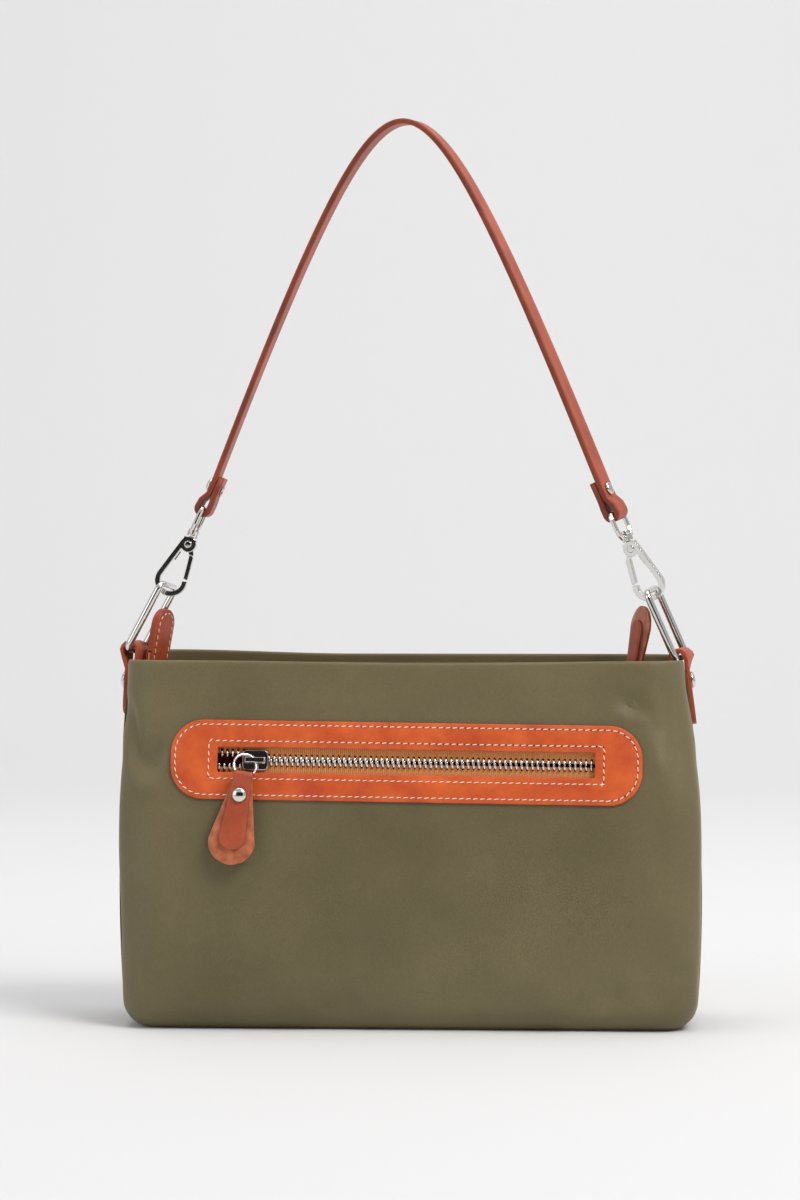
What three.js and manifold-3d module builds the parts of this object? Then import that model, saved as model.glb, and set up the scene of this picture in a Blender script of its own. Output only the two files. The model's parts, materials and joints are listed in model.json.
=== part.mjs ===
// Small nylon shoulder bag with a leather-framed front pocket zip, a recessed top zip,
// leather side tabs with oblong rings, and a short leather strap on two swivel snap hooks.
// Units are millimetres and degrees. X runs to the bag's right, Y to its back, Z up.
// The origin is on the floor, under the middle of the bag.
import * as THREE from "three";
import { mergeVertices } from "three/addons/utils/BufferGeometryUtils.js";
import Module from "manifold-3d";

const wasm = await Module();
wasm.setup();
const rad = THREE.MathUtils.degToRad;

// ---- Driving dimensions ----
const gap = 0.3; // air left between pieces that touch

// Bag body
const bagHeight = 176; // floor to the rim of the front and back panels
const gussetDrop = 4; // the rims of the side gussets sit this far below
const gussetHeight = bagHeight - gussetDrop;
const baseWidth = 276;
const waistWidth = 281;
const waistHeight = 80;
const mouthLeft = 136.5; // centre plane to the left gusset at the rim
const mouthRight = 131.5; // centre plane to the right gusset at the rim
const baseDepth = 76;
const mouthDepth = 58;
const frontLean = 7; // how far the upper front and back panels lean inwards
const panelThickness = 1.2;
const cornerRadius = 18; // vertical corners
const hemRadius = 13; // turn from the walls into the base
const cornerTurns = [0, 22.5, 45, 67.5, 90]; // where a round corner is stepped
const liningThickness = 0.6;

// Front pocket zip
const zipHeight = 128; // floor to the zip's centre line
const zipCentre = -1; // across the bag
const zipSlant = 0.75; // the sewn zip's small clockwise tilt
const frameLength = 225;
const frameWidth = 38;
const frameCorner = 16;
const frameThickness = 1.5;
const flatBelowFrame = 9; // flat cloth between the frame and the belly of the panel
const straightFrom = zipHeight - frameWidth / 2 - flatBelowFrame; // the panels are flat above this height
const slotLength = 180;
const slotWidth = 12;
const slotCorner = 1;
const slotAllowance = 6; // the cloth is cut back beyond the slot's ends
const slotSeam = 1; // and above and below it
const zipOverrun = 4; // the rows run on past the slot's ends, under the leather
const toothPitch = 2.54;
const toothRow = 3; // centre line to the outer edge of a closed row
const toothDepth = 2.8; // thickness of the teeth through the tape
const rowRoot = 1.4; // centre line to the root of the teeth
const toothReach = 1; // how far a tooth crosses the centre line
const toothShare = 0.39; // tooth width as a share of the pitch
const toothStart = 0.3; // the row's end to its first tooth
const rowOpening = 2.4; // how far each row moves aside beyond the slider
const rowJoin = 0.5; // where the rows meet, measured from the slider's middle
const rowParted = -4.5; // where they are fully apart
const tapeWidth = 15; // centre line to a tape's outer edge
const tapeThickness = 0.6;
const frontSliderAt = -72; // the slider's place along the closed zip
const pocketBelow = 20; // the pocket bag's bottom, below the panel's flat part
const pocketThickness = 9;
const pocketOverTape = 1; // the pocket bag's top above the tape's edge
const pocketBeyond = 8; // the pocket bag's sides beyond the rows

// Top zip
const topZipDrop = 31; // the rim of the bag to the sunk zip
const topZipHeight = bagHeight - topZipDrop;
const liningDrop = 4; // the zip to the lining's upper edge
const liningTop = topZipHeight - liningDrop;
const topZipLeft = -105;
const topZipRight = 112;
const topSliderAt = 104.4;
const facingReach = 8.5; // centre line to a facing's inner edge
const facingThickness = 0.8;
const facingDrop = 2; // the rim to a facing's upper edge
const facingMargin = 3; // a facing's end to the round corner
const endTabAt = -125.8;
const endTabBack = 2.5; // behind the zip's centre line
const endTabWidth = 16;
const endTabHeight = 30;
const endTabThickness = 3.8;
const endTabTurn = 24; // the stiff tab's turn about its upright axis
const endTabLean = 10;
const endTabDrop = 5; // the rim to the tab's lower edge
const tailWidth = 16;
const tailGrip = 8; // how far the tail runs up inside the tab
// The tail's bend: left of the rows' end, back, up, and its share of the tab's turn.
const tailBends = [[0.3, 0, 0, 0], [2, 0, 0, 0], [6, 0.6, 1, 0.1], [11, 2, 5, 0.35], [14, 3.6, 11, 0.65],
  [15, 4.8, 18, 0.9]];

// Sliders, pull rings and pullers
const sliderLength = 12;
const sliderWidth = 9.4;
const sliderPlate = 1;
const sliderCorner = 2;
const bridgeRise = 3.9; // top plate to the bridge's outer face
const bridgeThickness = 1.1;
const bridgeHalf = 4.6; // the middle to the bridge's ends
const bridgeFoot = 1.2; // thickness of the bridge's feet, and half its width
const wedgeHalf = 0.8;
const wedgeEnds = [-5.9, -4.1];
const lipInset = 0.7; // a slider's guiding lips, outside the rows
const pullRingRadius = 5.5;
const pullWire = 0.6; // wire radius
const pullerThickness = 1.6;
const pullerNeck = 9;
const pullerJoin = 6; // from the fold down to where the two tongues lie flat
const shortTongueWidth = 12.6;
const shortTongueLength = 35.6;
const longTongueWidth = 22.4;
const longTongueLength = 42.7;
const pullerRivetDrop = 9.4;
const frontPullTurn = 40; // the ring's lie below the zip's line
const bridgeSide = 0.5; // where the ring passes under the bridge
const frontPullTilt = 24; // the ring's tilt away from the leather
const frontPullerLean = 9;
const topPullTwist = 22;
const topPullLean = 8;

// Side tabs, oblong rings, snap hooks and strap
const tabWidth = 14;
const tabThickness = 2;
const tabRivetDrop = 6.5; // the gusset's rim to the tab's rivet
const tabInnerLeg = 24; // ring bar down to the inner leg's end
const tabLoopRadius = 3; // inner radius of the loop round the ring bar
const ringLength = 36; // between the end bars' centres
const ringWidth = 20.2; // between the side bars' centres
const ringCorner = 3.5;
const ringEndBar = 1.5; // bar radius at the ends
const ringSideBar = 1.8; // bar radius at the sides
const hookRadius = 6.6; // centre line of the loop's round end
const hookBar = 1.3; // half the bar's width
const hookThickness = 3.5;
const hookEndHeight = 6.5; // loop bottom to the centre of its round end
const hookPivotHeight = 25.9;
const hookPlateRadius = 3.9;
const hookPlateTop = 29.2;
const hookPlateSides = [-3.4, 3.3];
const postTop = 35.2; // the swivel post's riveted head
const postHead = 1.5;
const postHeadRadius = 2;
const hubRadius = 2.6; // the gate's hub, between the hook's cheeks
const gateThickness = 1.3;
const gateArm = [[2.6, 21.5], [5.1, 21.5], [7, 9.6], [4.7, 9.6]]; // across and up, in the hook's frame
const gateNeck = [[0.3, 23.6], [2.2, 26.5], [5.1, 21.2], [2.6, 21.2]];
const gateSlack = 0.1; // the gate's arm inside the hook's thickness
const springLine = [[-2, 21.2], [-2.4, 19], [-2.95, 16.4]];
const springRadius = 0.35;
const pinRadius = 1;
const pinHalf = 2.6; // the middle to the pin's domed ends
const pinHead = 1.9;
const spineLean = 12.8;
const noseAngle = 20;
const eyeBarHeight = 45.1;
const eyeInnerWidth = 16;
const eyeBar = 1.25;
const eyeBottom = 31.7;
const eyeTopCorner = 2.5;
const eyeBottomCorner = 5;
const swivelRadius = 2.9;
const swivelLow = 30;
const swivelHigh = 33.4;
const swivelPin = 1.2;
const hookSlack = 1; // play between a ring and the hook that hangs in it
const strapWidth = 15;
const strapThickness = 2.6;
const strapRise = 188.7; // eye bars to the top of the strap's arch
const strapApexShift = -1.7;
const strapApexRadius = 13.5;
const strapRivetHeight = 11.3; // eye bar to the end rivet
const strapTail = 17.4; // eye bar to the end of the folded tail
const strapFlat = 3.6; // flat leather either way of the end rivet
const strapOffset = 1; // the folded layers' middle, off the hook's axis
const strapEase = 0.94; // the share of the arch's fall drawn as a curve
const strapSteps = 15;
const smallCap = 3.2;
const pullerCap = 3.45;
const tabCap = 4.1;
const capHeight = 2;
const capEdge = 0.5; // height of a cap's straight edge
const backHeight = 1;
const rivetPost = 1.2;
const rivetSteps = 12;

// What differs between the two sides: how far the ring's bar sits above the gusset's rim, the tab's
// length below the bar, and how each piece leans and twists.
const sides = [
  { name: "left", sign: -1, mouth: mouthLeft, barRise: 8.3, tabLeg: 31,
    ringLean: 28, ringTwist: 15, hookLean: 24.5, hookTwist: 1 },
  { name: "right", sign: 1, mouth: mouthRight, barRise: 5, tabLeg: 32.5,
    ringLean: 23.8, ringTwist: 17, hookLean: 24.3, hookTwist: 20 },
];

// ---- Finishes ----
const finish = (color, roughness, metalness) =>
  new THREE.MeshStandardMaterial({ color, roughness, metalness });
const nylon = finish(0x6d6246, 0.62, 0);
const nylonInside = finish(0x4a4232, 0.8, 0);
const redLining = finish(0x8d1f24, 0.75, 0);
const leather = finish(0xd8682f, 0.5, 0);
const tapeCloth = finish(0xe0965e, 0.8, 0);
const silver = finish(0xd2d0cc, 0.2, 1);

// ---- Solids ----
const vec = (x, y, z) => new THREE.Vector3(x, y, z);

// Makes a closed geometry from points and triangles, and turns it outwards if it is inside out.
function closed(points, triangles) {
  let volume = 0;
  for (const [a, b, c] of triangles) {
    volume += points[a].dot(points[b].clone().cross(points[c]));
  }
  const faces = volume < 0 ? triangles.map(([a, b, c]) => [a, c, b]) : triangles;
  const geometry = new THREE.BufferGeometry();
  const flat = points.flatMap((p) => [p.x, p.y, p.z]);
  geometry.setAttribute("position", new THREE.Float32BufferAttribute(flat, 3));
  geometry.setIndex(faces.flat());
  geometry.computeVertexNormals();
  return geometry;
}

// Skins a row of loops. Open rows are capped at both ends, closed rows run back to the first loop.
function loft(loops, isRing = false) {
  const size = loops[0].length;
  const points = loops.flat();
  const triangles = [];
  const steps = isRing ? loops.length : loops.length - 1;
  for (let i = 0; i < steps; i += 1) {
    const next = (i + 1) % loops.length;
    for (let k = 0; k < size; k += 1) {
      const a = i * size + k;
      const b = i * size + (k + 1) % size;
      const c = next * size + (k + 1) % size;
      const d = next * size + k;
      triangles.push([a, b, c], [a, c, d]);
    }
  }
  if (!isRing) {
    for (const [start, flip] of [[0, true], [(loops.length - 1) * size, false]]) {
      const middle = vec(0, 0, 0);
      for (let k = 0; k < size; k += 1) middle.add(points[start + k]);
      points.push(middle.divideScalar(size));
      for (let k = 0; k < size; k += 1) {
        const a = start + k;
        const b = start + (k + 1) % size;
        triangles.push(flip ? [points.length - 1, b, a] : [points.length - 1, a, b]);
      }
    }
  }
  return closed(points, triangles);
}

// Closes the space between two matching grids of points, as a sheet of cloth with a thickness.
function sheet(outer, inner) {
  const rows = outer.length;
  const cols = outer[0].length;
  const count = rows * cols;
  const points = [...outer.flat(), ...inner.flat()];
  const triangles = [];
  const at = (j, i) => j * cols + i;
  for (let j = 0; j < rows - 1; j += 1) {
    for (let i = 0; i < cols - 1; i += 1) {
      const [a, b, c, d] = [at(j, i), at(j, i + 1), at(j + 1, i + 1), at(j + 1, i)];
      triangles.push([a, b, c], [a, c, d]);
      triangles.push([count + a, count + c, count + b], [count + a, count + d, count + c]);
    }
  }
  const rim = [];
  for (let i = 0; i < cols - 1; i += 1) rim.push(at(0, i));
  for (let j = 0; j < rows - 1; j += 1) rim.push(at(j, cols - 1));
  for (let i = cols - 1; i > 0; i -= 1) rim.push(at(rows - 1, i));
  for (let j = rows - 1; j > 0; j -= 1) rim.push(at(j, 0));
  rim.forEach((a, k) => {
    const b = rim[(k + 1) % rim.length];
    triangles.push([b, a, count + a], [b, count + a, count + b]);
  });
  return closed(points, triangles);
}

// Sweeps a section along frames. A frame has a place, an across direction and a sideways width.
function sweep(frames, section, isRing = false) {
  const loops = frames.map((frame, i) => {
    const before = frames[isRing ? (i + frames.length - 1) % frames.length : Math.max(i - 1, 0)].at;
    const after = frames[isRing ? (i + 1) % frames.length : Math.min(i + 1, frames.length - 1)].at;
    const along = after.clone().sub(before).normalize();
    const across = frame.across.clone().addScaledVector(along, -frame.across.dot(along)).normalize();
    const out = along.clone().cross(across);
    const wide = frame.wide ?? 1;
    const thick = frame.thick ?? 1;
    return section.map(([s, t]) =>
      frame.at.clone().addScaledVector(across, s * wide).addScaledVector(out, t * thick));
  });
  return loft(loops, isRing);
}

const meshTolerance = 0.002;
function toManifold(geometry) {
  const bare = new THREE.BufferGeometry();
  bare.setAttribute("position", geometry.getAttribute("position"));
  if (geometry.index) bare.setIndex(geometry.index);
  const merged = mergeVertices(bare, 1e-4);
  const vertProperties = Float32Array.from(merged.getAttribute("position").array);
  const triVerts = Uint32Array.from(merged.index.array);
  return new wasm.Manifold(new wasm.Mesh({ numProp: 3, vertProperties, triVerts }));
}

function fromManifold(solid) {
  const mesh = solid.simplify(meshTolerance).getMesh();
  const geometry = new THREE.BufferGeometry();
  geometry.setAttribute("position", new THREE.Float32BufferAttribute(mesh.vertProperties, 3));
  geometry.setIndex([...mesh.triVerts]);
  geometry.computeVertexNormals();
  return geometry;
}

const combine = (step) => (first, ...others) =>
  fromManifold(others.reduce((solid, other) => step(solid, toManifold(other)), toManifold(first)));
const cut = combine((solid, other) => solid.subtract(other));
const join = combine((solid, other) => solid.add(other));
const common = combine((solid, other) => solid.intersect(other));

const box = (x0, x1, y0, y1, z0, z1) =>
  new THREE.BoxGeometry(x1 - x0, y1 - y0, z1 - z0).translate((x0 + x1) / 2, (y0 + y1) / 2, (z0 + z1) / 2);

// A cylinder along the given axis letter, from low to high.
function rod(axis, radius, low, high, segments = 16) {
  const geometry = new THREE.CylinderGeometry(radius, radius, high - low, segments);
  geometry.translate(0, (low + high) / 2, 0);
  if (axis === "x") geometry.rotateZ(-Math.PI / 2);
  if (axis === "z") geometry.rotateX(Math.PI / 2);
  return geometry;
}

// A flat shape drawn in X and Z, given a thickness in Y from low to high.
function upright(shape, low, high, curveSegments = 6) {
  const geometry = new THREE.ExtrudeGeometry(shape, { depth: high - low, bevelEnabled: false, curveSegments });
  return geometry.rotateX(Math.PI / 2).translate(0, high, 0);
}

function roundedShape(left, right, bottom, top, radius, shape = new THREE.Shape()) {
  shape.moveTo(left + radius, bottom);
  shape.absarc(right - radius, bottom + radius, radius, -Math.PI / 2, 0);
  shape.absarc(right - radius, top - radius, radius, 0, Math.PI / 2);
  shape.absarc(left + radius, top - radius, radius, Math.PI / 2, Math.PI);
  shape.absarc(left + radius, bottom + radius, radius, Math.PI, Math.PI * 1.5);
  shape.closePath();
  return shape;
}

function addPiece(parent, name, geometry, material) {
  const mesh = new THREE.Mesh(geometry, material);
  mesh.name = name;
  parent.add(mesh);
  return mesh;
}

// The matrix that carries a point from one group's frame into another's.
function between(from, to) {
  from.updateWorldMatrix(true, false);
  to.updateWorldMatrix(true, false);
  return to.matrixWorld.clone().invert().multiply(from.matrixWorld);
}

// Turns a profile of radius and height about Z.
function turnedAboutZ(profile, segments) {
  const points = profile.map(([x, y]) => new THREE.Vector2(x, y));
  return new THREE.LatheGeometry(points, segments).rotateX(Math.PI / 2);
}

// A rivet along +Z through a stack from low to high: the domed cap with its post, and the back cap.
function rivet(radius, low, high) {
  const base = high + gap;
  const dome = base + capEdge;
  const profile = [[0, low], [rivetPost, low], [rivetPost, base], [radius, base], [radius, dome]];
  for (const turn of [30, 60]) {
    profile.push([radius * Math.cos(rad(turn)), dome + (capHeight - capEdge) * Math.sin(rad(turn))]);
  }
  profile.push([0, base + capHeight]);
  const seat = low - gap;
  const backProfile = [[0, seat - backHeight], [radius * 0.7, seat - backHeight],
    [radius * 0.85, seat - backHeight / 2], [radius * 0.85, seat], [0, seat]];
  return {
    cap: turnedAboutZ(profile, rivetSteps),
    back: turnedAboutZ(backProfile, rivetSteps),
    hole: rod("z", rivetPost + gap, low - capHeight, high + capHeight, rivetSteps),
  };
}

// ---- Bag body ----
const bag = new THREE.Group();

// Half the width of the body at a height, on one side: a smooth curve through base, waist and mouth.
function halfWidth(z, mouth) {
  const lower = (waistWidth - baseWidth) / 2 / waistHeight;
  const upper = (mouth - waistWidth / 2) / (bagHeight - waistHeight);
  return baseWidth / 2 + lower * z + (upper - lower) / bagHeight * z * (z - waistHeight);
}

// Half the depth of the body at a height: flat and leaning above, bellied below.
function halfDepth(z) {
  const slope = Math.tan(rad(frontLean));
  const atStraight = mouthDepth / 2 + (bagHeight - straightFrom) * slope;
  if (z >= straightFrom) return mouthDepth / 2 + (bagHeight - z) * slope;
  const down = straightFrom - z;
  const belly = (atStraight + slope * straightFrom - baseDepth / 2) / straightFrom ** 2;
  return atStraight + slope * down - belly * down ** 2;
}

// Height and inset of a wall surface at each row: the hem's quarter turn, then the upright wall.
function wallRows(inset, top, heights) {
  const rows = [];
  for (let step = 0; step < 3; step += 1) {
    const turn = rad(step * 30);
    const radius = hemRadius - inset;
    rows.push({ z: hemRadius - radius * Math.cos(turn), tuck: hemRadius - radius * Math.sin(turn) });
  }
  for (const z of [hemRadius, ...heights, top]) rows.push({ z, tuck: inset });
  return rows;
}

const wallHeights = [0.18, 0.31, 0.45, 0.57, 0.71, 0.85].map((share) => share * bagHeight);

// A point of the wall at a row. corner picks the corner's centre, turn goes round it, slide shifts it along Y.
function wallPoint(row, corner, turn, slide = 0) {
  const side = corner.x < 0 ? mouthLeft : mouthRight;
  const radius = cornerRadius - row.tuck;
  const x = corner.x * (halfWidth(row.z, side) - cornerRadius) + radius * Math.cos(rad(turn));
  const y = corner.y * (halfDepth(row.z) - cornerRadius) + radius * Math.sin(rad(turn));
  return vec(x, y + slide, row.z);
}

function wallPanel(columns, top) {
  const skin = (inset) => wallRows(inset, top, wallHeights).map((row) =>
    columns.map((c) => wallPoint(row, { x: c.x, y: c.y }, c.turn, c.slide)));
  return sheet(skin(0), skin(panelThickness));
}

// Front and back panels each run round both of their vertical corners to the gusset seams.
function panelColumns(start, direction) {
  const columns = [];
  for (const turn of cornerTurns) columns.push({ x: -direction, y: -direction, turn: start + turn });
  for (const x of [-0.5, 0, 0.5]) columns.push({ x: x * direction, y: -direction, turn: start + 90 });
  for (const turn of cornerTurns) columns.push({ x: direction, y: -direction, turn: start + 90 + turn });
  return columns;
}

const gussetColumns = (x) =>
  [-1, 0, 1].map((y) => ({ x, y: y * x, turn: x > 0 ? 0 : 180, slide: -y * x * gap }));

const zipFrame = new THREE.Group();
zipFrame.position.set(zipCentre, -halfDepth(zipHeight), zipHeight);
zipFrame.rotation.set(rad(-frontLean), rad(zipSlant), 0);
bag.add(zipFrame);

const clothSlot = [slotLength / 2 + slotAllowance, slotWidth / 2 + slotSeam];
const panelSlot =
  box(-clothSlot[0], clothSlot[0], -pocketThickness, pocketThickness, -clothSlot[1], clothSlot[1]);
const frontPanel = cut(wallPanel(panelColumns(180, 1), bagHeight),
  panelSlot.applyMatrix4(between(zipFrame, bag)));
addPiece(bag, "front_panel", frontPanel, nylon);
addPiece(bag, "back_panel", wallPanel(panelColumns(0, -1), bagHeight), nylon);

// One turn round the body at a row, with the two front corners moved inwards by frontSlide.
function roundLoop(row, frontSlide = 0) {
  return [[1, 1, 0], [-1, 1, 90], [-1, -1, 180], [1, -1, 270]].flatMap(([x, y, start]) =>
    cornerTurns.map((turn) => wallPoint(row, { x, y }, start + turn, y < 0 ? frontSlide : 0)));
}
const basePanel = loft([0, panelThickness].map((z) => roundLoop({ z, tuck: hemRadius + gap })));
addPiece(bag, "bottom_panel", basePanel, nylon);

// Main lining: a cloth cup inside the panels, with its front wall held back by the pocket bag.
const pocketStack = tapeThickness + pocketThickness + gap * 3;
const liningRows = (inset) => wallRows(inset, liningTop, wallHeights.filter((z) => z < liningTop - hemRadius));
const liningInset = panelThickness + gap;
const liningLoops = [...liningRows(liningInset), ...liningRows(liningInset + liningThickness).reverse()];
addPiece(bag, "main_lining", loft(liningLoops.map((row) => roundLoop(row, pocketStack))), nylonInside);

// ---- Front pocket zip: everything here lies in the frame of the sewn zip ----
const framePlate = roundedShape(-frameLength / 2, frameLength / 2,
  -frameWidth / 2, frameWidth / 2, frameCorner);
framePlate.holes.push(
  roundedShape(-slotLength / 2, slotLength / 2, -slotWidth / 2, slotWidth / 2, slotCorner, new THREE.Path()));
addPiece(zipFrame, "front_zip_frame", upright(framePlate, -gap - frameThickness, -gap, 6), leather);

// How far a row has moved aside, at a distance along the zip from the slider's middle.
function rowShift(x) {
  return rowOpening * THREE.MathUtils.clamp((rowJoin - x) / (rowJoin - rowParted), 0, 1);
}

// One row of teeth on its cord, seen from outside. side is +1 for the upper row.
function toothedRow(low, high, sliderAt, side, toothed = true) {
  const points = [];
  const start = low + (side > 0 ? 0 : toothPitch / 2);
  const put = (x, z) => points.push(new THREE.Vector2(x, side * (z + rowShift(x - sliderAt))));
  put(low, rowRoot);
  for (let x = start + toothStart; toothed && x < high - toothPitch; x += toothPitch) {
    const end = x + toothPitch * toothShare;
    put(x, rowRoot);
    put(x, -toothReach);
    put(end, -toothReach);
    put(end, rowRoot);
  }
  if (!toothed) {
    put(sliderAt + rowParted, rowRoot);
    put(sliderAt + rowJoin, rowRoot);
  }
  put(high, rowRoot);
  for (const x of [high, sliderAt + rowJoin, sliderAt + rowParted, low]) put(x, toothRow);
  return new THREE.Shape(points);
}

function tapeShape(low, high, sliderAt, side) {
  const inner = [high, sliderAt + rowJoin, sliderAt + rowParted, low];
  const points = inner.map((x) => new THREE.Vector2(x, side * (toothRow + gap + rowShift(x - sliderAt))));
  points.push(new THREE.Vector2(low, side * tapeWidth), new THREE.Vector2(high, side * tapeWidth));
  return new THREE.Shape(points);
}

// The body of a slider: two plates, the wedge between the rows, guiding lips and the bridge.
function sliderBody() {
  const half = toothDepth / 2 + gap;
  const end = sliderLength / 2;
  const side = sliderWidth / 2;
  const bridgeOut = half + sliderPlate + bridgeRise;
  const into = sliderPlate / 5;
  const plate = (low, high) => upright(roundedShape(-end, end, -side, side, sliderCorner), low, high, 3);
  const foot = bridgeHalf - bridgeFoot;
  const parts = [
    plate(half, half + sliderPlate),
    box(...wedgeEnds, -half - into, half + into, -wedgeHalf, wedgeHalf),
    box(-bridgeHalf, bridgeHalf, -bridgeOut, -bridgeOut + bridgeThickness, -bridgeFoot, bridgeFoot),
    box(-bridgeHalf, -foot, -bridgeOut + into, -half - into, -bridgeFoot, bridgeFoot),
    box(foot, bridgeHalf, -bridgeOut + into, -half - into, -bridgeFoot, bridgeFoot),
  ];
  const clear = tapeThickness / 2 + gap;
  const lip = toothRow + lipInset;
  for (const [low, high] of [[-side, -lip], [lip, side]]) {
    parts.push(box(1, end - 1, -half - into, -clear, low, high),
      box(1, end - 1, clear, half + into, low, high));
  }
  return join(plate(-half - sliderPlate, -half), ...parts);
}

// A leather puller folded over the pull ring's wire, hanging down from the wire's middle.
// ringAt is the ring's centre seen from the fold, and ringPose turns the ring into its plane.
function pullerBody(ringAt, ringPose) {
  const inner = pullWire + gap;
  const outer = inner + pullerThickness;
  const face = gap / 2 + pullerThickness;
  const profile = (length) => {
    const shape = new THREE.Shape();
    shape.moveTo(gap, inner);
    shape.absarc(0, 0, inner, Math.PI / 2, Math.PI, false);
    shape.lineTo(-gap / 2, -pullerJoin);
    shape.lineTo(-gap / 2, -length);
    shape.lineTo(-face, -length);
    shape.lineTo(-face, -pullerJoin);
    shape.lineTo(-outer, 0);
    shape.absarc(0, 0, outer, Math.PI, Math.PI / 2, true);
    shape.lineTo(gap, outer);
    shape.closePath();
    return upright(shape, -longTongueWidth, longTongueWidth, 4).rotateZ(Math.PI / 2);
  };
  const outline = (width, length) => {
    const shape = new THREE.Shape();
    shape.moveTo(-pullerNeck / 2, 2 * outer);
    shape.lineTo(-pullerNeck / 2, -outer);
    shape.lineTo(-width / 2, -length + width / 2);
    shape.absarc(0, -length + width / 2, width / 2, Math.PI, Math.PI * 2, false);
    shape.lineTo(pullerNeck / 2, -outer);
    shape.lineTo(pullerNeck / 2, 2 * outer);
    shape.closePath();
    return upright(shape, -pullerNeck, pullerNeck, 8);
  };
  const shortTongue = common(profile(shortTongueLength), outline(shortTongueWidth, shortTongueLength));
  const longTongue = common(profile(longTongueLength).rotateZ(Math.PI),
    outline(longTongueWidth, longTongueLength));
  const groove = new THREE.TorusGeometry(pullRingRadius, pullWire + gap, 8, 24).rotateX(Math.PI / 2);
  groove.applyMatrix4(ringPose).translate(ringAt.x, ringAt.y, ringAt.z);
  const rivetSet = rivet(pullerCap, -face, face);
  const drop = (geometry) => geometry.rotateX(Math.PI / 2).translate(0, 0, -pullerRivetDrop);
  const body = cut(join(shortTongue, longTongue), groove, drop(rivetSet.hole));
  return { body, cap: drop(rivetSet.cap), back: drop(rivetSet.back) };
}

// A pull ring and the puller folded over it, each placed in the slider's frame.
function addPull(parent, prefix, ringAt, ringPose, pullerAt, pullerPose) {
  const ring = new THREE.TorusGeometry(pullRingRadius, pullWire, 6, 24).rotateX(Math.PI / 2);
  const ringGroup = new THREE.Group();
  ringGroup.applyMatrix4(ringPose.clone().setPosition(ringAt));
  parent.add(ringGroup);
  addPiece(ringGroup, `${prefix}_pull_ring`, ring, silver);
  const pullerGroup = new THREE.Group();
  pullerGroup.applyMatrix4(pullerPose.clone().setPosition(pullerAt));
  parent.add(pullerGroup);
  const toRing = between(ringGroup, pullerGroup);
  const puller = pullerBody(vec(0, 0, 0).applyMatrix4(toRing), new THREE.Matrix4().extractRotation(toRing));
  addPiece(pullerGroup, `${prefix}_puller`, puller.body, leather);
  addPiece(pullerGroup, `${prefix}_puller_rivet_cap`, puller.cap, silver);
  addPiece(pullerGroup, `${prefix}_puller_rivet_back`, puller.back, silver);
}

const tapePlane = panelThickness + gap + tapeThickness / 2;
const zipEnd = slotLength / 2 + zipOverrun;
for (const [name, side] of [["upper", 1], ["lower", -1]]) {
  const tape = tapeShape(-zipEnd - zipOverrun, zipEnd + zipOverrun, frontSliderAt, side);
  const row = toothedRow(-zipEnd, zipEnd, frontSliderAt, side);
  addPiece(zipFrame, `front_tape_${name}`,
    upright(tape, tapePlane - tapeThickness / 2, tapePlane + tapeThickness / 2), tapeCloth);
  addPiece(zipFrame, `front_teeth_${name}`,
    upright(row, tapePlane - toothDepth / 2, tapePlane + toothDepth / 2), silver);
}

// Pocket bag: a flat cloth pouch behind the zip, open towards it.
const pocketFront = tapePlane + tapeThickness / 2 + gap;
const pocketTop = tapeWidth + pocketOverTape;
const pocketBottom = -(zipHeight - straightFrom + pocketBelow);
const pocketHalf = zipEnd + pocketBeyond;
const pouch = cut(
  box(-pocketHalf, pocketHalf, pocketFront, pocketFront + pocketThickness, pocketBottom, pocketTop),
  box(-pocketHalf + liningThickness, pocketHalf - liningThickness, pocketFront + liningThickness,
    pocketFront + pocketThickness - liningThickness,
    pocketBottom + liningThickness, pocketTop - liningThickness),
  box(-zipEnd - slotSeam, zipEnd + slotSeam, pocketFront - slotSeam, pocketFront + slotSeam,
    -clothSlot[1], clothSlot[1]),
);
addPiece(zipFrame, "front_pocket_lining", pouch, redLining);

const frontPull = new THREE.Group();
frontPull.position.set(frontSliderAt, tapePlane, 0);
zipFrame.add(frontPull);
addPiece(frontPull, "front_slider", sliderBody(), silver);
const windowMiddle = toothDepth / 2 + gap + sliderPlate + (bridgeRise - bridgeThickness) / 2;
const bridgePoint = vec(-bridgeSide, -windowMiddle, bridgeSide);
const inPlane = vec(-Math.cos(rad(frontPullTurn)), 0, -Math.sin(rad(frontPullTurn)));
const flipAxis = vec(-Math.sin(rad(frontPullTurn)), 0, Math.cos(rad(frontPullTurn)));
const flip = new THREE.Matrix4().makeRotationAxis(flipAxis, rad(frontPullTilt));
const frontRingAt = bridgePoint.clone().add(inPlane.clone().multiplyScalar(pullRingRadius).applyMatrix4(flip));
const hang = vec(-Math.sin(rad(frontPullerLean)), 0, -Math.cos(rad(frontPullerLean)));
const frontFold = frontRingAt.clone().add(hang.clone().multiplyScalar(pullRingRadius).applyMatrix4(flip));
const frontHang = new THREE.Matrix4().makeRotationY(rad(frontPullerLean));
addPull(frontPull, "front", frontRingAt, flip, frontFold, frontHang);

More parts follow.
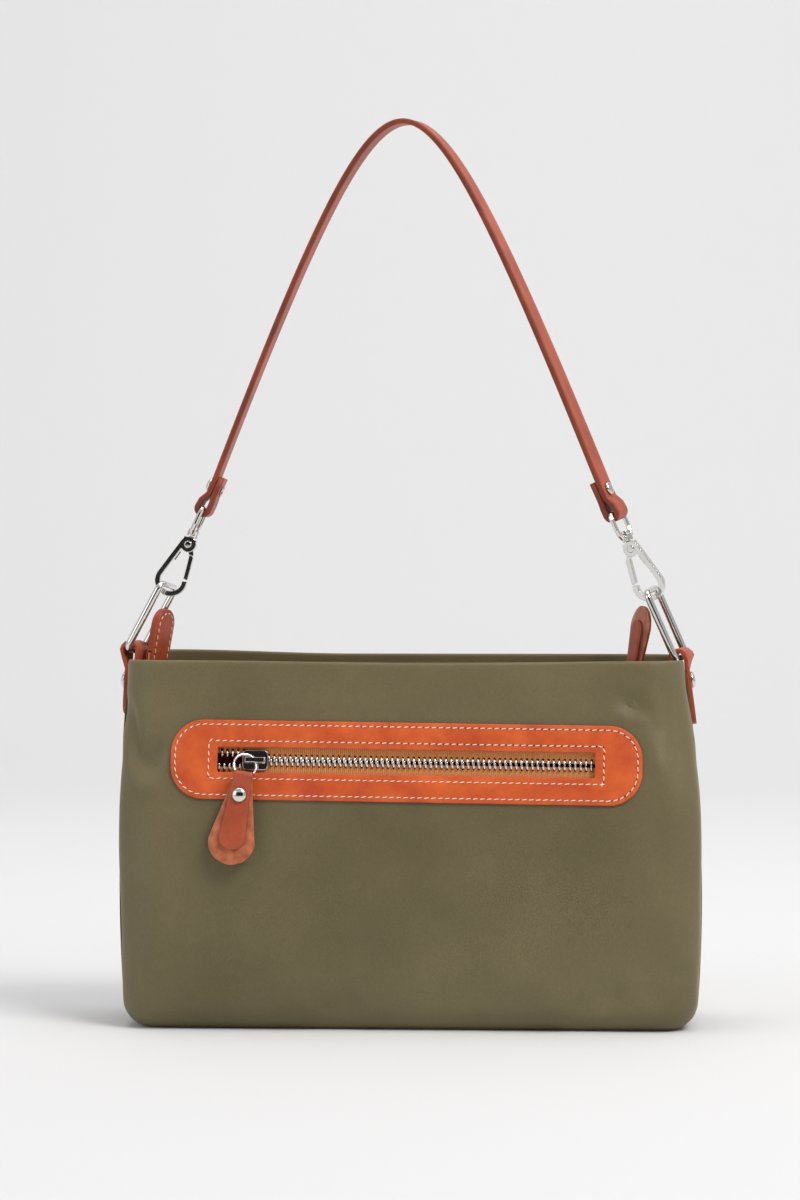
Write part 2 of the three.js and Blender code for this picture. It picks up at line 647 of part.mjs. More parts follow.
// ---- Top zip, sunk below the rim between two nylon facings. It closes towards the bag's right, so its
// frame's X runs to the bag's left, -Y up out of the zip and Z to the front ----
const topZip = new THREE.Group();
topZip.position.set(0, 0, topZipHeight);
topZip.rotation.set(rad(-90), 0, Math.PI, "ZYX");
bag.add(topZip);
const tapeLow = topZipLeft - zipOverrun;
const tapeHigh = topZipRight + 1;
for (const [name, side] of [["back", -1], ["front", 1]]) {
  const tape = tapeShape(-tapeHigh, -tapeLow, -topSliderAt, side);
  const row = toothedRow(-topZipRight, -topZipLeft, -topSliderAt, side, false);
  addPiece(topZip, `top_tape_${name}`, upright(tape, -tapeThickness / 2, tapeThickness / 2), tapeCloth);
  addPiece(topZip, `top_teeth_${name}`, upright(row, -toothDepth / 2, toothDepth / 2), silver);
}
addPiece(topZip, "top_slider", sliderBody(), silver).position.x = -topSliderAt;

// Facings: strips that run down inside the mouth and then level to the zip's edge.
const facingLow = topZipHeight + tapeThickness / 2 + gap;
const facingHigh = bagHeight - facingDrop;
for (const [name, side] of [["front", -1], ["back", 1]]) {
  const wallAt = (z) => halfDepth(z) - panelThickness - gap;
  const profile = [[wallAt(facingHigh), facingHigh], [wallAt(facingLow), facingLow], [facingReach, facingLow],
    [facingReach, facingLow + facingThickness],
    [wallAt(facingLow) - facingThickness, facingLow + facingThickness],
    [wallAt(facingHigh) - facingThickness, facingHigh]];
  const low = tapeLow + 1;
  const high = mouthRight - cornerRadius - facingMargin;
  const shape = new THREE.Shape(profile.map(([y, z]) => new THREE.Vector2(side * y, z)));
  const length = new THREE.ExtrudeGeometry(shape, { depth: high - low, bevelEnabled: false });
  length.rotateX(Math.PI / 2).rotateZ(Math.PI / 2).translate(low, 0, 0);
  addPiece(bag, `top_facing_${name}`, length, nylonInside);
}

// The zip's closed end turns up out of the mouth and is capped by a folded leather tab.
const tabBase = vec(endTabAt, endTabBack, bagHeight - endTabDrop);
const tabLean = vec(Math.sin(rad(endTabLean)), 0, Math.cos(rad(endTabLean)));
const turned = vec(Math.sin(rad(endTabTurn)), Math.cos(rad(endTabTurn)), 0);
const tailFrames = tailBends.map(([left, back, up, share]) => ({
  at: vec(topZipLeft - zipOverrun - left, back, topZipHeight + up),
  across: vec(0, 1, 0).lerp(turned, share),
}));
tailFrames.push({ at: tabBase, across: turned });
tailFrames.push({ at: tabBase.clone().addScaledVector(tabLean, tailGrip), across: turned });
const strip = (width, thickness) => [[-width / 2, -thickness / 2], [width / 2, -thickness / 2],
  [width / 2, thickness / 2], [-width / 2, thickness / 2]];
addPiece(bag, "top_zip_tail", sweep(tailFrames, strip(tailWidth, tapeThickness * 2)), tapeCloth);

const endTab = new THREE.Group();
endTab.position.copy(tabBase);
endTab.rotation.set(0, rad(endTabLean), rad(-endTabTurn), "YXZ");
bag.add(endTab);
const endOutline = new THREE.Shape();
endOutline.moveTo(-endTabWidth / 2, 0);
endOutline.lineTo(endTabWidth / 2, 0);
endOutline.lineTo(endTabWidth / 2, endTabHeight - endTabWidth / 2);
endOutline.absarc(0, endTabHeight - endTabWidth / 2, endTabWidth / 2, 0, Math.PI, false);
endOutline.closePath();
const endSolid = upright(endOutline, -endTabThickness / 2, endTabThickness / 2, 8).rotateZ(Math.PI / 2);
const endSlot = box(-tapeThickness - gap, tapeThickness + gap, -tailWidth / 2 - gap, tailWidth / 2 + gap,
  -endTabThickness, tailGrip + 2 * gap);
addPiece(endTab, "top_end_tab", cut(endSolid, endSlot), leather);

const topPull = new THREE.Group();
topPull.position.set(topSliderAt, 0, topZipHeight);
bag.add(topPull);
const topPose = new THREE.Matrix4().makeRotationY(rad(topPullLean));
topPose.multiply(new THREE.Matrix4().makeRotationZ(rad(topPullTwist - 90)));
const topUp = vec(0, 0, 1).applyMatrix4(topPose);
const topBridge = vec(0, 0, windowMiddle);
const topRingAt = topBridge.clone().addScaledVector(topUp, pullRingRadius);
const topFold = topRingAt.clone().addScaledVector(topUp, pullRingRadius);
const hangingUp = topPose.clone().multiply(new THREE.Matrix4().makeRotationY(Math.PI));
addPull(topPull, "top", topRingAt, topPose, topFold, hangingUp);

// ---- Side tabs, rings, hooks: the same pieces on both sides, the right side turned half round ----
function addTab(side) {
  const narrowing = halfWidth(gussetHeight, side.mouth) - halfWidth(gussetHeight - side.tabLeg, side.mouth);
  const slope = narrowing / side.tabLeg;
  const tab = new THREE.Group();
  const barHeight = gussetHeight + side.barRise;
  const barAt = halfWidth(gussetHeight, side.mouth) - panelThickness / 2 + slope * side.barRise;
  tab.position.set(side.sign * barAt, 0, barHeight);
  tab.rotation.set(0, Math.atan(side.sign * slope), side.sign < 0 ? Math.PI : 0, "YXZ");
  bag.add(tab);
  const neck = side.barRise + gap * 2;
  const leg = panelThickness / 2 + gap * 2 + tabThickness / 2;
  const loop = tabLoopRadius + tabThickness / 2;
  const round = tabWidth / 2;
  const path = [[leg, -side.tabLeg, 0.15], [leg, -side.tabLeg + round / 7, 0.5],
    [leg, -side.tabLeg + round * 3 / 7, 0.8], [leg, -side.tabLeg + round, 1], [leg, -neck - round, 1],
    [leg, -neck, 1], [(leg + loop) / 2, -neck / 2, 1]];
  for (let turn = 0; turn <= 180; turn += 30) {
    path.push([loop * Math.cos(rad(turn)), loop * Math.sin(rad(turn)), 1]);
  }
  path.push([-(leg + loop) / 2, -neck / 2, 1], [-leg, -neck, 1], [-leg, -tabInnerLeg, 1]);
  const twist = (z) => -rad(side.ringTwist * 0.93) * THREE.MathUtils.smoothstep(z, -neck, 0);
  const frames = path.map(([x, z, wide]) => {
    const turn = twist(z);
    const across = vec(-Math.sin(turn), Math.cos(turn), 0);
    return { at: vec(x * Math.cos(turn), x * Math.sin(turn), z), across, wide };
  });
  const rivetSet = rivet(tabCap, -leg - tabThickness / 2, leg + tabThickness / 2);
  const drop = (geometry) => geometry.rotateY(Math.PI / 2).translate(0, 0, -side.barRise - tabRivetDrop);
  const hole = drop(rivetSet.hole);
  addPiece(tab, `${side.name}_tab`, cut(sweep(frames, strip(tabWidth, tabThickness)), hole), leather);
  addPiece(tab, `${side.name}_tab_rivet_cap`, drop(rivetSet.cap), silver);
  addPiece(tab, `${side.name}_tab_rivet_back`, drop(rivetSet.back), silver);
  const gusset = wallPanel(gussetColumns(side.sign), gussetHeight);
  addPiece(bag, `${side.name}_gusset`, cut(gusset, hole.applyMatrix4(between(tab, bag))), nylon);
  return tab.position;
}

// A frame whose Z runs up a piece that leans towards the bag's middle and is twisted about its own length.
function leaningFrame(side, lean, twist, at) {
  const group = new THREE.Group();
  group.position.copy(at);
  group.rotation.set(0, -side.sign * rad(lean), rad((side.sign < 0 ? 0 : 180) - twist), "YXZ");
  bag.add(group);
  return group;
}

function addRing(side, barAt) {
  const ring = leaningFrame(side, side.ringLean, side.ringTwist, barAt);
  const frames = [];
  const [halfY, halfZ] = [ringWidth / 2 - ringCorner, ringLength / 2 - ringCorner];
  [[1, 1, 0], [-1, 1, 90], [-1, -1, 180], [1, -1, 270]].forEach(([y, z, start]) => {
    for (const k of [0, 30, 60, 90]) {
      const turn = rad(start + k);
      const [outY, outZ] = [ringCorner * Math.cos(turn), ringCorner * Math.sin(turn)];
      const at = vec(0, y * halfY + outY, ringLength / 2 + z * halfZ + outZ);
      const size = ringEndBar + (ringSideBar - ringEndBar) * Math.abs(Math.cos(turn));
      frames.push({ at, across: vec(1, 0, 0), wide: size, thick: size });
    }
  });
  addPiece(ring, `${side.name}_ring`, sweep(frames, octagon, true), silver);
  return vec(0, 0, ringLength).applyMatrix4(between(ring, bag));
}

const octagon = [0, 1, 2, 3, 4, 5, 6, 7].map((k) =>
  [Math.cos(rad(22.5 + k * 45)), Math.sin(rad(22.5 + k * 45))]);
const endCentre = vec(-0.4, 0, hookEndHeight); // centre of the hook's round end
const spineTouch = vec(endCentre.x - hookRadius * Math.cos(rad(spineLean)), 0,
  endCentre.z + hookRadius * Math.sin(rad(spineLean))); // where the spine meets the round end

function hookBody() {
  const shape = new THREE.Shape();
  const spineEnd = (offset) => {
    const height = hookPivotHeight + 1;
    const across = offset / Math.cos(rad(spineLean));
    return [spineTouch.x + across + (height - spineTouch.z) * Math.tan(rad(spineLean)), height];
  };
  const touch = rad(180 - spineLean);
  const nose = rad(noseAngle);
  shape.moveTo(...spineEnd(-hookBar));
  const outer = hookRadius + hookBar;
  shape.lineTo(endCentre.x + outer * Math.cos(touch), endCentre.z + outer * Math.sin(touch));
  shape.absarc(endCentre.x, endCentre.z, outer, touch, nose + Math.PI * 2, false);
  shape.absarc(endCentre.x, endCentre.z, hookRadius - hookBar, nose, touch - Math.PI * 2, true);
  shape.lineTo(...spineEnd(hookBar));
  shape.closePath();
  const half = hookThickness / 2;
  const cheek = gateThickness / 2 + 0.2;
  return cut(
    join(upright(shape, -half, half, 24),
      rod("y", hookPlateRadius, -half, half, 24).translate(0, 0, hookPivotHeight),
      box(...hookPlateSides, -half, half, hookPivotHeight, hookPlateTop),
      rod("z", swivelPin, hookPlateTop - swivelPin, postTop - postHead / 2, 12),
      rod("z", postHeadRadius, postTop - postHead, postTop, 12)),
    rod("y", hubRadius + gap, -cheek, cheek, 20).translate(0, 0, hookPivotHeight),
    box(0, 7, -cheek, cheek, hookPivotHeight - 4.5, hookPivotHeight + 1.6),
    rod("y", pinRadius + gap, -3, 3, 12).translate(0, 0, hookPivotHeight),
  );
}

const outline = (points) => new THREE.Shape(points.map(([x, z]) => new THREE.Vector2(x, z)));

function gateBody() {
  const thin = gateThickness / 2;
  const wide = hookThickness / 2 - gateSlack;
  const hub = rod("y", hubRadius, -thin, thin, 20).translate(0, 0, hookPivotHeight);
  return cut(join(hub, upright(outline(gateNeck), -thin, thin), upright(outline(gateArm), -wide, wide)),
    rod("y", pinRadius + gap, -hookThickness, hookThickness, 12).translate(0, 0, hookPivotHeight));
}

function eyeBody() {
  const frames = [];
  const half = eyeInnerWidth / 2 + eyeBar;
  const corners = [[1, 1, 0, eyeTopCorner], [-1, 1, 90, eyeTopCorner], [-1, -1, 180, eyeBottomCorner],
    [1, -1, 270, eyeBottomCorner]];
  corners.forEach(([y, z, start, radius]) => {
    for (const k of [0, 30, 60, 90]) {
      const turn = rad(start + k);
      const middle = z > 0 ? eyeBarHeight - radius : eyeBottom + radius;
      const at = vec(0, y * (half - radius) + radius * Math.cos(turn), middle + radius * Math.sin(turn));
      frames.push({ at, across: vec(1, 0, 0), wide: eyeBar, thick: eyeBar });
    }
  });
  return cut(join(sweep(frames, octagon, true), rod("z", swivelRadius, swivelLow, swivelHigh, 16)),
    rod("z", swivelPin + gap, swivelLow - 1, swivelHigh + 1, 12));
}

function addHook(side, ringTop) {
  const ringUp = vec(-side.sign * Math.sin(rad(side.ringLean)), 0, Math.cos(rad(side.ringLean)));
  const play = hookRadius - hookBar - hookSlack - ringEndBar;
  const endAt = ringTop.clone().addScaledVector(ringUp, play);
  const hook = leaningFrame(side, side.hookLean, side.hookTwist, endAt);
  hook.translateX(-endCentre.x);
  hook.translateZ(-endCentre.z);
  addPiece(hook, `${side.name}_hook_body`, hookBody(), silver);
  addPiece(hook, `${side.name}_hook_gate`, gateBody(), silver);
  const seat = hookThickness / 2 + gap;
  const half = [[pinRadius, seat], [pinHead, seat], [pinHead * 0.8, pinHalf - 0.1], [0, pinHalf]];
  const pin = [...half.map(([x, y]) => [x, -y]).reverse(), ...half];
  const pinBody = new THREE.LatheGeometry(pin.map(([x, y]) => new THREE.Vector2(x, y)), 16);
  addPiece(hook, `${side.name}_hook_pin`, pinBody.translate(0, 0, hookPivotHeight), silver);
  const wire = springLine.map(([x, z]) => ({ at: vec(x, 0, z), across: vec(0, 1, 0) }));
  const thin = octagon.map(([a, b]) => [a * springRadius, b * springRadius]);
  addPiece(hook, `${side.name}_hook_spring`, sweep(wire, thin), silver);
  addPiece(hook, `${side.name}_swivel_eye`, eyeBody(), silver);
  return hook;
}

// The folded end of the strap in a hook's frame, from the tail's tip to the main strap.
function foldPath() {
  const layer = strapThickness / 2 + gap / 2;
  const turn = eyeBar + gap + strapThickness / 2;
  const middle = strapOffset;
  const z = eyeBarHeight;
  const path = [[middle + layer, z + strapTail], [middle + layer, z + strapRivetHeight - strapFlat],
    [turn, z + strapFlat], [turn, z]];
  for (const angle of [-30, -60, -90, -120, -150]) {
    path.push([turn * Math.cos(rad(angle)), z + turn * Math.sin(rad(angle))]);
  }
  path.push([-turn, z], [-turn + gap, z + strapFlat], [middle - layer, z + strapRivetHeight - strapFlat],
    [middle - layer, z + strapRivetHeight + strapFlat]);
  return path;
}

function addStrap(hooks) {
  const folds = hooks.map((hook, i) => {
    const matrix = between(hook, bag);
    const turnOnly = new THREE.Matrix4().extractRotation(matrix);
    return foldPath().map(([x, z]) => ({
      at: vec(x, 0, z).applyMatrix4(matrix),
      across: vec(0, i === 0 ? 1 : -1, 0).applyMatrix4(turnOnly),
    }));
  });
  const [left, right] = folds.map((fold) => fold[fold.length - 1]);
  const eyes = hooks.map((hook) => vec(0, 0, eyeBarHeight).applyMatrix4(between(hook, bag)));
  const apex = vec((eyes[0].x + eyes[1].x) / 2 + strapApexShift, 0, (eyes[0].z + eyes[1].z) / 2 + strapRise);
  const arch = [];
  for (let k = -strapSteps; k <= strapSteps; k += 1) {
    const end = k < 0 ? left.at : right.at;
    const drop = apex.z - end.z;
    const span = Math.abs(end.x - apex.x);
    const lean = (span ** 2 - 2 * strapApexRadius * drop) / drop ** 2;
    const fall = drop * strapEase * (k / strapSteps) ** 2;
    const x = Math.sign(k) * Math.sqrt(2 * strapApexRadius * fall + lean * fall ** 2);
    const across = left.across.clone().lerp(right.across, (k + strapSteps) / (2 * strapSteps));
    arch.push({ at: vec(apex.x + x, 0, apex.z - fall), across });
  }
  const frames = [...folds[0], ...arch, ...folds[1].reverse()];
  const rivets = hooks.map((hook, i) => {
    const stack = strapThickness + gap / 2;
    const set = rivet(smallCap, -stack, stack);
    const place = (geometry) =>
      geometry.rotateY(-Math.PI / 2).translate(strapOffset, 0, eyeBarHeight + strapRivetHeight);
    const name = sides[i].name;
    addPiece(hook, `${name}_strap_rivet_cap`, place(set.cap), silver);
    addPiece(hook, `${name}_strap_rivet_back`, place(set.back), silver);
    return place(set.hole).applyMatrix4(between(hook, bag));
  });
  addPiece(bag, "strap", cut(sweep(frames, strip(strapWidth, strapThickness)), ...rivets), leather);
}

const hooks = sides.map((side) => addHook(side, addRing(side, addTab(side))));
addStrap(hooks);

export default bag;
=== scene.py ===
import json
import math

import bmesh
import bpy
import numpy as np
from mathutils import Matrix, Vector


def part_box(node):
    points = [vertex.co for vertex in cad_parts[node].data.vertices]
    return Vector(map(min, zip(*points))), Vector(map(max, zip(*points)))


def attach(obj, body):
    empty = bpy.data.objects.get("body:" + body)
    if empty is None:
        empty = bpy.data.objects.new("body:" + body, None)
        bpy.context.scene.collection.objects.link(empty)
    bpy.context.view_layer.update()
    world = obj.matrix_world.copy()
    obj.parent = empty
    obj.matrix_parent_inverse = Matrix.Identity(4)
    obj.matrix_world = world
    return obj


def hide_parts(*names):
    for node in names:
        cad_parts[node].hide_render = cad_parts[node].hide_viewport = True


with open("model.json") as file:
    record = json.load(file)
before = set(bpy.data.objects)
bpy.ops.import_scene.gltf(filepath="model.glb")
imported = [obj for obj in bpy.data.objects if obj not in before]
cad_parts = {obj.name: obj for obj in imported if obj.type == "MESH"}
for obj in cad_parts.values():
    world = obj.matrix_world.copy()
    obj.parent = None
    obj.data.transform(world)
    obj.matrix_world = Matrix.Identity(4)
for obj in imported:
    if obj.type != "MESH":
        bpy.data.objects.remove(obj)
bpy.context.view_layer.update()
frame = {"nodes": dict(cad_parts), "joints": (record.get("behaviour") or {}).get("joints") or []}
joint = {j["name"]: j for j in frame["joints"]}

# ---- Camera ----
# A level eye a little above the strap's clasps, 1.6 m in front and three degrees to the right.
# It frames the bag and the whole arch of the strap, with the floor below.
CAMERA_TARGET = Vector((-0.0056, 0.0, 0.205))
CAMERA_DISTANCE = 1.6
CAMERA_TURN = math.radians(3)
CAMERA_HEIGHT = 0.228
VIEW_HEIGHT = 0.584  # what the upright frame spans at the bag

camera_data = bpy.data.cameras.new("camera")
camera = bpy.data.objects.new("camera", camera_data)
bpy.context.scene.collection.objects.link(camera)
camera.location = CAMERA_TARGET + CAMERA_DISTANCE * Vector((math.sin(CAMERA_TURN), -math.cos(CAMERA_TURN), 0))
camera.location.z = CAMERA_HEIGHT
camera.rotation_euler = (CAMERA_TARGET - camera.location).to_track_quat("-Z", "Y").to_euler()
camera_data.sensor_fit = "VERTICAL"
camera_data.sensor_height = 24
camera_data.lens = camera_data.sensor_height * CAMERA_DISTANCE / VIEW_HEIGHT
camera_data.clip_end = 50
bpy.context.scene.camera = camera

# ---- Studio ----
# A pale sweep: the floor runs back and curves up into the wall. The light is a broad soft key from the
# upper right, a weaker fill from the left and an even glow from all round.
SWEEP_WIDTH = 8.0
SWEEP_FRONT = -4.0
SWEEP_BACK = 1.6
SWEEP_RADIUS = 1.2
SWEEP_TOP = 5.0


def srgb(red, green, blue):
    """A linear colour from 0-255 screen values."""
    values = [c / 255 for c in (red, green, blue)]
    return tuple(v / 12.92 if v <= 0.04045 else ((v + 0.055) / 1.055) ** 2.4 for v in values)


def new_material(name, color, roughness, metallic=0.0, specular=0.5):
    """A material and its Principled shader."""
    material = bpy.data.materials.new(name)
    material.use_nodes = True
    shader = material.node_tree.nodes["Principled BSDF"]
    shader.inputs["Base Color"].default_value = (*color, 1)
    shader.inputs["Roughness"].default_value = roughness
    shader.inputs["Metallic"].default_value = metallic
    shader.inputs["Specular IOR Level"].default_value = specular
    return material, shader


def add_node(tree, kind, settings=None, **inputs):
    """A node with its settings and input values. An input given as a socket is linked."""
    made = tree.nodes.new(kind)
    for key, value in (settings or {}).items():
        setattr(made, key, value)
    for key, value in inputs.items():
        socket = made.inputs[key.replace("_", " ")]
        if isinstance(value, bpy.types.NodeSocket):
            tree.links.new(value, socket)
        else:
            socket.default_value = value
    return made


def link_mesh(name, points, faces, uvs=None):
    """A mesh object from points, faces and, where given, one UV pair for each point."""
    mesh = bpy.data.meshes.new(name)
    mesh.from_pydata([tuple(p) for p in points], [], faces)
    if uvs is not None:
        layer = mesh.uv_layers.new(name="UVMap")
        for loop in mesh.loops:
            layer.data[loop.index].uv = uvs[loop.vertex_index]
    mesh.update()
    piece = bpy.data.objects.new(name, mesh)
    bpy.context.scene.collection.objects.link(piece)
    return piece


def smooth(piece):
    piece.data.polygons.foreach_set("use_smooth", [True] * len(piece.data.polygons))
    return piece


profile = [(SWEEP_FRONT, 0.0)]
for step in range(13):
    turn = math.radians(90 * step / 12)
    profile.append((SWEEP_BACK + SWEEP_RADIUS * math.sin(turn), SWEEP_RADIUS * (1 - math.cos(turn))))
profile.append((SWEEP_BACK + SWEEP_RADIUS, SWEEP_TOP))
sweep_points = [(side * SWEEP_WIDTH / 2, y, z) for y, z in profile for side in (-1, 1)]
sweep_faces = [(2 * k, 2 * k + 1, 2 * k + 3, 2 * k + 2) for k in range(len(profile) - 1)]
floor = smooth(link_mesh("floor", sweep_points, sweep_faces))
floor_material, _ = new_material("paper", srgb(229, 229, 230), 0.9, specular=0.1)
floor.data.materials.append(floor_material)

# A dark card behind the camera, which the flat faces of the metal reflect.
CARD = [(-1.3, 0.1), (1.3, 0.1), (1.3, 1.5), (-1.3, 1.5)]
CARD_DISTANCE = 2.5
card = link_mesh("dark_card", [(x, -CARD_DISTANCE, z) for x, z in CARD], [(3, 2, 1, 0)])
card_material, _ = new_material("card", srgb(40, 38, 36), 0.9, specular=0.1)
card.data.materials.append(card_material)


def area_light(name, location, size, power, color=(1, 1, 1), target=(0, 0, 0.15)):
    data = bpy.data.lights.new(name, "AREA")
    data.size = size
    data.energy = power
    data.color = color
    light = bpy.data.objects.new(name, data)
    light.location = location
    light.rotation_euler = (Vector(target) - light.location).to_track_quat("-Z", "Y").to_euler()
    bpy.context.scene.collection.objects.link(light)


area_light("key", (1.4, -1.3, 2.2), 1.1, 44, (1.0, 0.985, 0.965))
area_light("fill", (-1.8, -1.4, 1.0), 1.4, 8, (0.97, 0.985, 1.0))
area_light("wall", (0.0, 0.4, 2.6), 2.0, 30, (1, 0.99, 0.98), target=(0, 2.6, 0.6))
world = bpy.data.worlds.new("glow")
world.use_nodes = True
world.node_tree.nodes["Background"].inputs["Color"].default_value = (*srgb(248, 248, 248), 1)
world.node_tree.nodes["Background"].inputs["Strength"].default_value = 0.55
bpy.context.scene.world = world
bpy.context.scene.view_settings.view_transform = "Standard"

# ---- Nylon shell ----
# The front and back are olive nylon twill, each running round two rounded corners to the narrow side
# gussets. The cloth is turned in at the rim and the base, and it sinks and pulls between its seams.
MM = 0.001
BAG_HEIGHT = 176 * MM
GUSSET_HEIGHT = 172 * MM
BASE_WIDTH = 276 * MM
WAIST_WIDTH = 281 * MM
WAIST_HEIGHT = 80 * MM
MOUTH_LEFT = 136.5 * MM
MOUTH_RIGHT = 131.5 * MM
BASE_DEPTH = 76 * MM
MOUTH_DEPTH = 58 * MM
WALL_LEAN = math.radians(7)
FLAT_FROM = 100 * MM
CORNER_RADIUS = 18 * MM
HEM_RADIUS = 13 * MM
ZIP_HEIGHT = 128 * MM
ZIP_CENTRE = -1 * MM
FRAME_LENGTH = 225 * MM
FRAME_WIDTH = 38 * MM
RIM_ROLL = 0.9 * MM
HEM_DEPTH = 14 * MM
CLOTH_THICKNESS = 0.5 * MM
SEAM_SINK = 1.0 * MM
GUSSET_SINK = 0.8 * MM  # less than the cloth's distance from the lining behind it
TAB_FROM = 140 * MM  # the seams lie flat above this, behind the side tabs
FOLD_STRENGTH = 1.8

# Folds of the front: start and end across and up the bag, half width and depth. Minus stands proud.
FRONT_FOLDS = [
    ((-112, 140), (-128, 121), 4.5, 2.0),
    ((-136, 157), (-128, 120), 3.5, 1.6),
    ((-133, 128), (-122, 112), 5.0, -0.8),
    ((101, 162), (117, 141), 5.0, 1.3),
    ((108, 146), (121, 122), 5.0, -1.0),
    ((124, 166), (129, 120), 5.0, 1.0),
    ((-127, 112), (-130, 40), 10.0, 0.9),
    ((-118, 100), (-121, 30), 8.0, -0.6),
    ((-45, 6), (-22, 14), 9.0, 1.3),
    ((76, 6), (104, 22), 9.0, 1.5),
    ((118, 10), (132, 34), 8.0, 1.4),
    ((36, 30), (92, 12), 11.0, -0.9),
    ((-20, 16), (70, 44), 14.0, -0.7),
    ((118, 118), (128, 60), 9.0, 0.8),
]
BACK_FOLDS = [
    ((-120, 150), (-112, 110), 7.0, 1.6),
    ((118, 152), (108, 104), 7.0, 1.4),
    ((-60, 150), (40, 138), 12.0, 0.9),
    ((-90, 10), (-50, 30), 10.0, 1.4),
    ((60, 8), (96, 34), 10.0, 1.4),
    ((-30, 70), (70, 60), 20.0, -1.2),
    ((20, 110), (60, 40), 14.0, 0.8),
]


def half_width(z, mouth):
    lower = (WAIST_WIDTH - BASE_WIDTH) / 2 / WAIST_HEIGHT
    upper = (mouth - WAIST_WIDTH / 2) / (BAG_HEIGHT - WAIST_HEIGHT)
    return BASE_WIDTH / 2 + lower * z + (upper - lower) / BAG_HEIGHT * z * (z - WAIST_HEIGHT)


def half_depth(z):
    slope = math.tan(WALL_LEAN)
    if z >= FLAT_FROM:
        return MOUTH_DEPTH / 2 + (BAG_HEIGHT - z) * slope
    at_flat = MOUTH_DEPTH / 2 + (BAG_HEIGHT - FLAT_FROM) * slope
    belly = (at_flat + slope * FLAT_FROM - BASE_DEPTH / 2) / FLAT_FROM**2
    down = FLAT_FROM - z
    return at_flat + slope * down - belly * down**2


def smoothstep(value, low, high):
    share = min(max((value - low) / (high - low), 0), 1)
    return share * share * (3 - 2 * share)


def fold_depth(x, z, folds):
    """How far the cloth is pushed in at a place, in metres, from its folds and a slow waviness."""
    total = 0.35 * math.sin(0.051 * x + 1.3) * math.sin(0.043 * z + 0.6)
    total += 0.25 * math.sin(0.027 * x - 0.061 * z + 2.0)
    for (x0, z0), (x1, z1), width, depth in folds:
        along = ((x - x0) * (x1 - x0) + (z - z0) * (z1 - z0)) / ((x1 - x0) ** 2 + (z1 - z0) ** 2)
        place = min(max(along, -0.15), 1.15)
        gap = math.hypot(x - x0 - place * (x1 - x0), z - z0 - place * (z1 - z0))
        taper = smoothstep(place, -0.15, 0.3) * smoothstep(-place, -1.15, -0.7)
        total += depth * taper * math.exp(-((gap / width) ** 2))
    return FOLD_STRENGTH * total * MM


def wall_point(z, tuck, x_side, y_side, turn):
    """A point of the shell. The sides pick a corner and turn goes round it, in degrees."""
    mouth = MOUTH_LEFT if x_side < 0 else MOUTH_RIGHT
    radius = CORNER_RADIUS - tuck
    x = x_side * (half_width(z, mouth) - CORNER_RADIUS) + radius * math.cos(math.radians(turn))
    y = y_side * (half_depth(z) - CORNER_RADIUS) + radius * math.sin(math.radians(turn))
    return Vector((x, y, z))


def wall_rows(top, steps, hem_steps=7):
    """Height and tuck of each row: the base hem, the wall, the rolled rim and the turned-in hem."""
    rows = [(HEM_RADIUS * (1 - math.cos(t)), HEM_RADIUS * (1 - math.sin(t)))
            for t in (math.radians(90 * k / hem_steps) for k in range(hem_steps))]
    wall_top = top - RIM_ROLL
    rows += [(HEM_RADIUS + (wall_top - HEM_RADIUS) * k / steps, 0.0) for k in range(steps + 1)]
    for turn in (math.radians(a) for a in (30, 60, 90, 120, 150, 180)):
        rows.append((wall_top + RIM_ROLL * math.sin(turn), RIM_ROLL * (1 - math.cos(turn))))
    rows += [(wall_top - HEM_DEPTH * k / 4, 2 * RIM_ROLL) for k in (1, 2, 3, 4)]
    return rows


def skin(name, rows):
    """A sheet through rows of points, with its UV map in metres of cloth."""
    height, width = len(rows), len(rows[0])
    faces = [(j * width + i, j * width + i + 1, (j + 1) * width + i + 1, (j + 1) * width + i)
             for j in range(height - 1) for i in range(width - 1)]
    middle = height // 2
    across = np.cumsum([0.0] + [(rows[middle][i + 1] - rows[middle][i]).length for i in range(width - 1)])
    centre = width // 2
    up = np.cumsum([0.0] + [(rows[j + 1][centre] - rows[j][centre]).length for j in range(height - 1)])
    uvs = [(across[i], up[j]) for j in range(height) for i in range(width)]
    return link_mesh(name, [p for row in rows for p in row], faces, uvs)


def thicken(piece, thickness, offset=-1.0):
    """Gives a sheet its thickness and leaves a plain mesh."""
    modifier = piece.modifiers.new("thickness", "SOLIDIFY")
    modifier.thickness = thickness
    modifier.offset = offset
    return applied(piece)


def applied(piece):
    """The piece with its modifiers turned into plain mesh."""
    bpy.context.view_layer.update()
    evaluated = piece.evaluated_get(bpy.context.evaluated_depsgraph_get())
    mesh = bpy.data.meshes.new_from_object(evaluated)
    piece.modifiers.clear()
    piece.data = mesh
    return piece


def point_outwards(piece):
    """Makes every face of a closed piece face outwards."""
    work = bmesh.new()
    work.from_mesh(piece.data)
    bmesh.ops.recalc_face_normals(work, faces=work.faces)
    work.to_mesh(piece.data)
    work.free()
    return smooth(piece)


def wear(node, material):
    """Gives a CAD node that keeps its own shape its material."""
    frame["nodes"][node].data.materials.clear()
    frame["nodes"][node].data.materials.append(material)


def finish_piece(piece, material, body, slot, *nodes):
    """Gives a piece its material and body, and says which CAD nodes it stands for. slot is not used."""
    if material is not None:
        piece.data.materials.clear()
        piece.data.materials.append(material)
    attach(piece, body)
    if nodes:
        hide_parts(*nodes)
    return piece


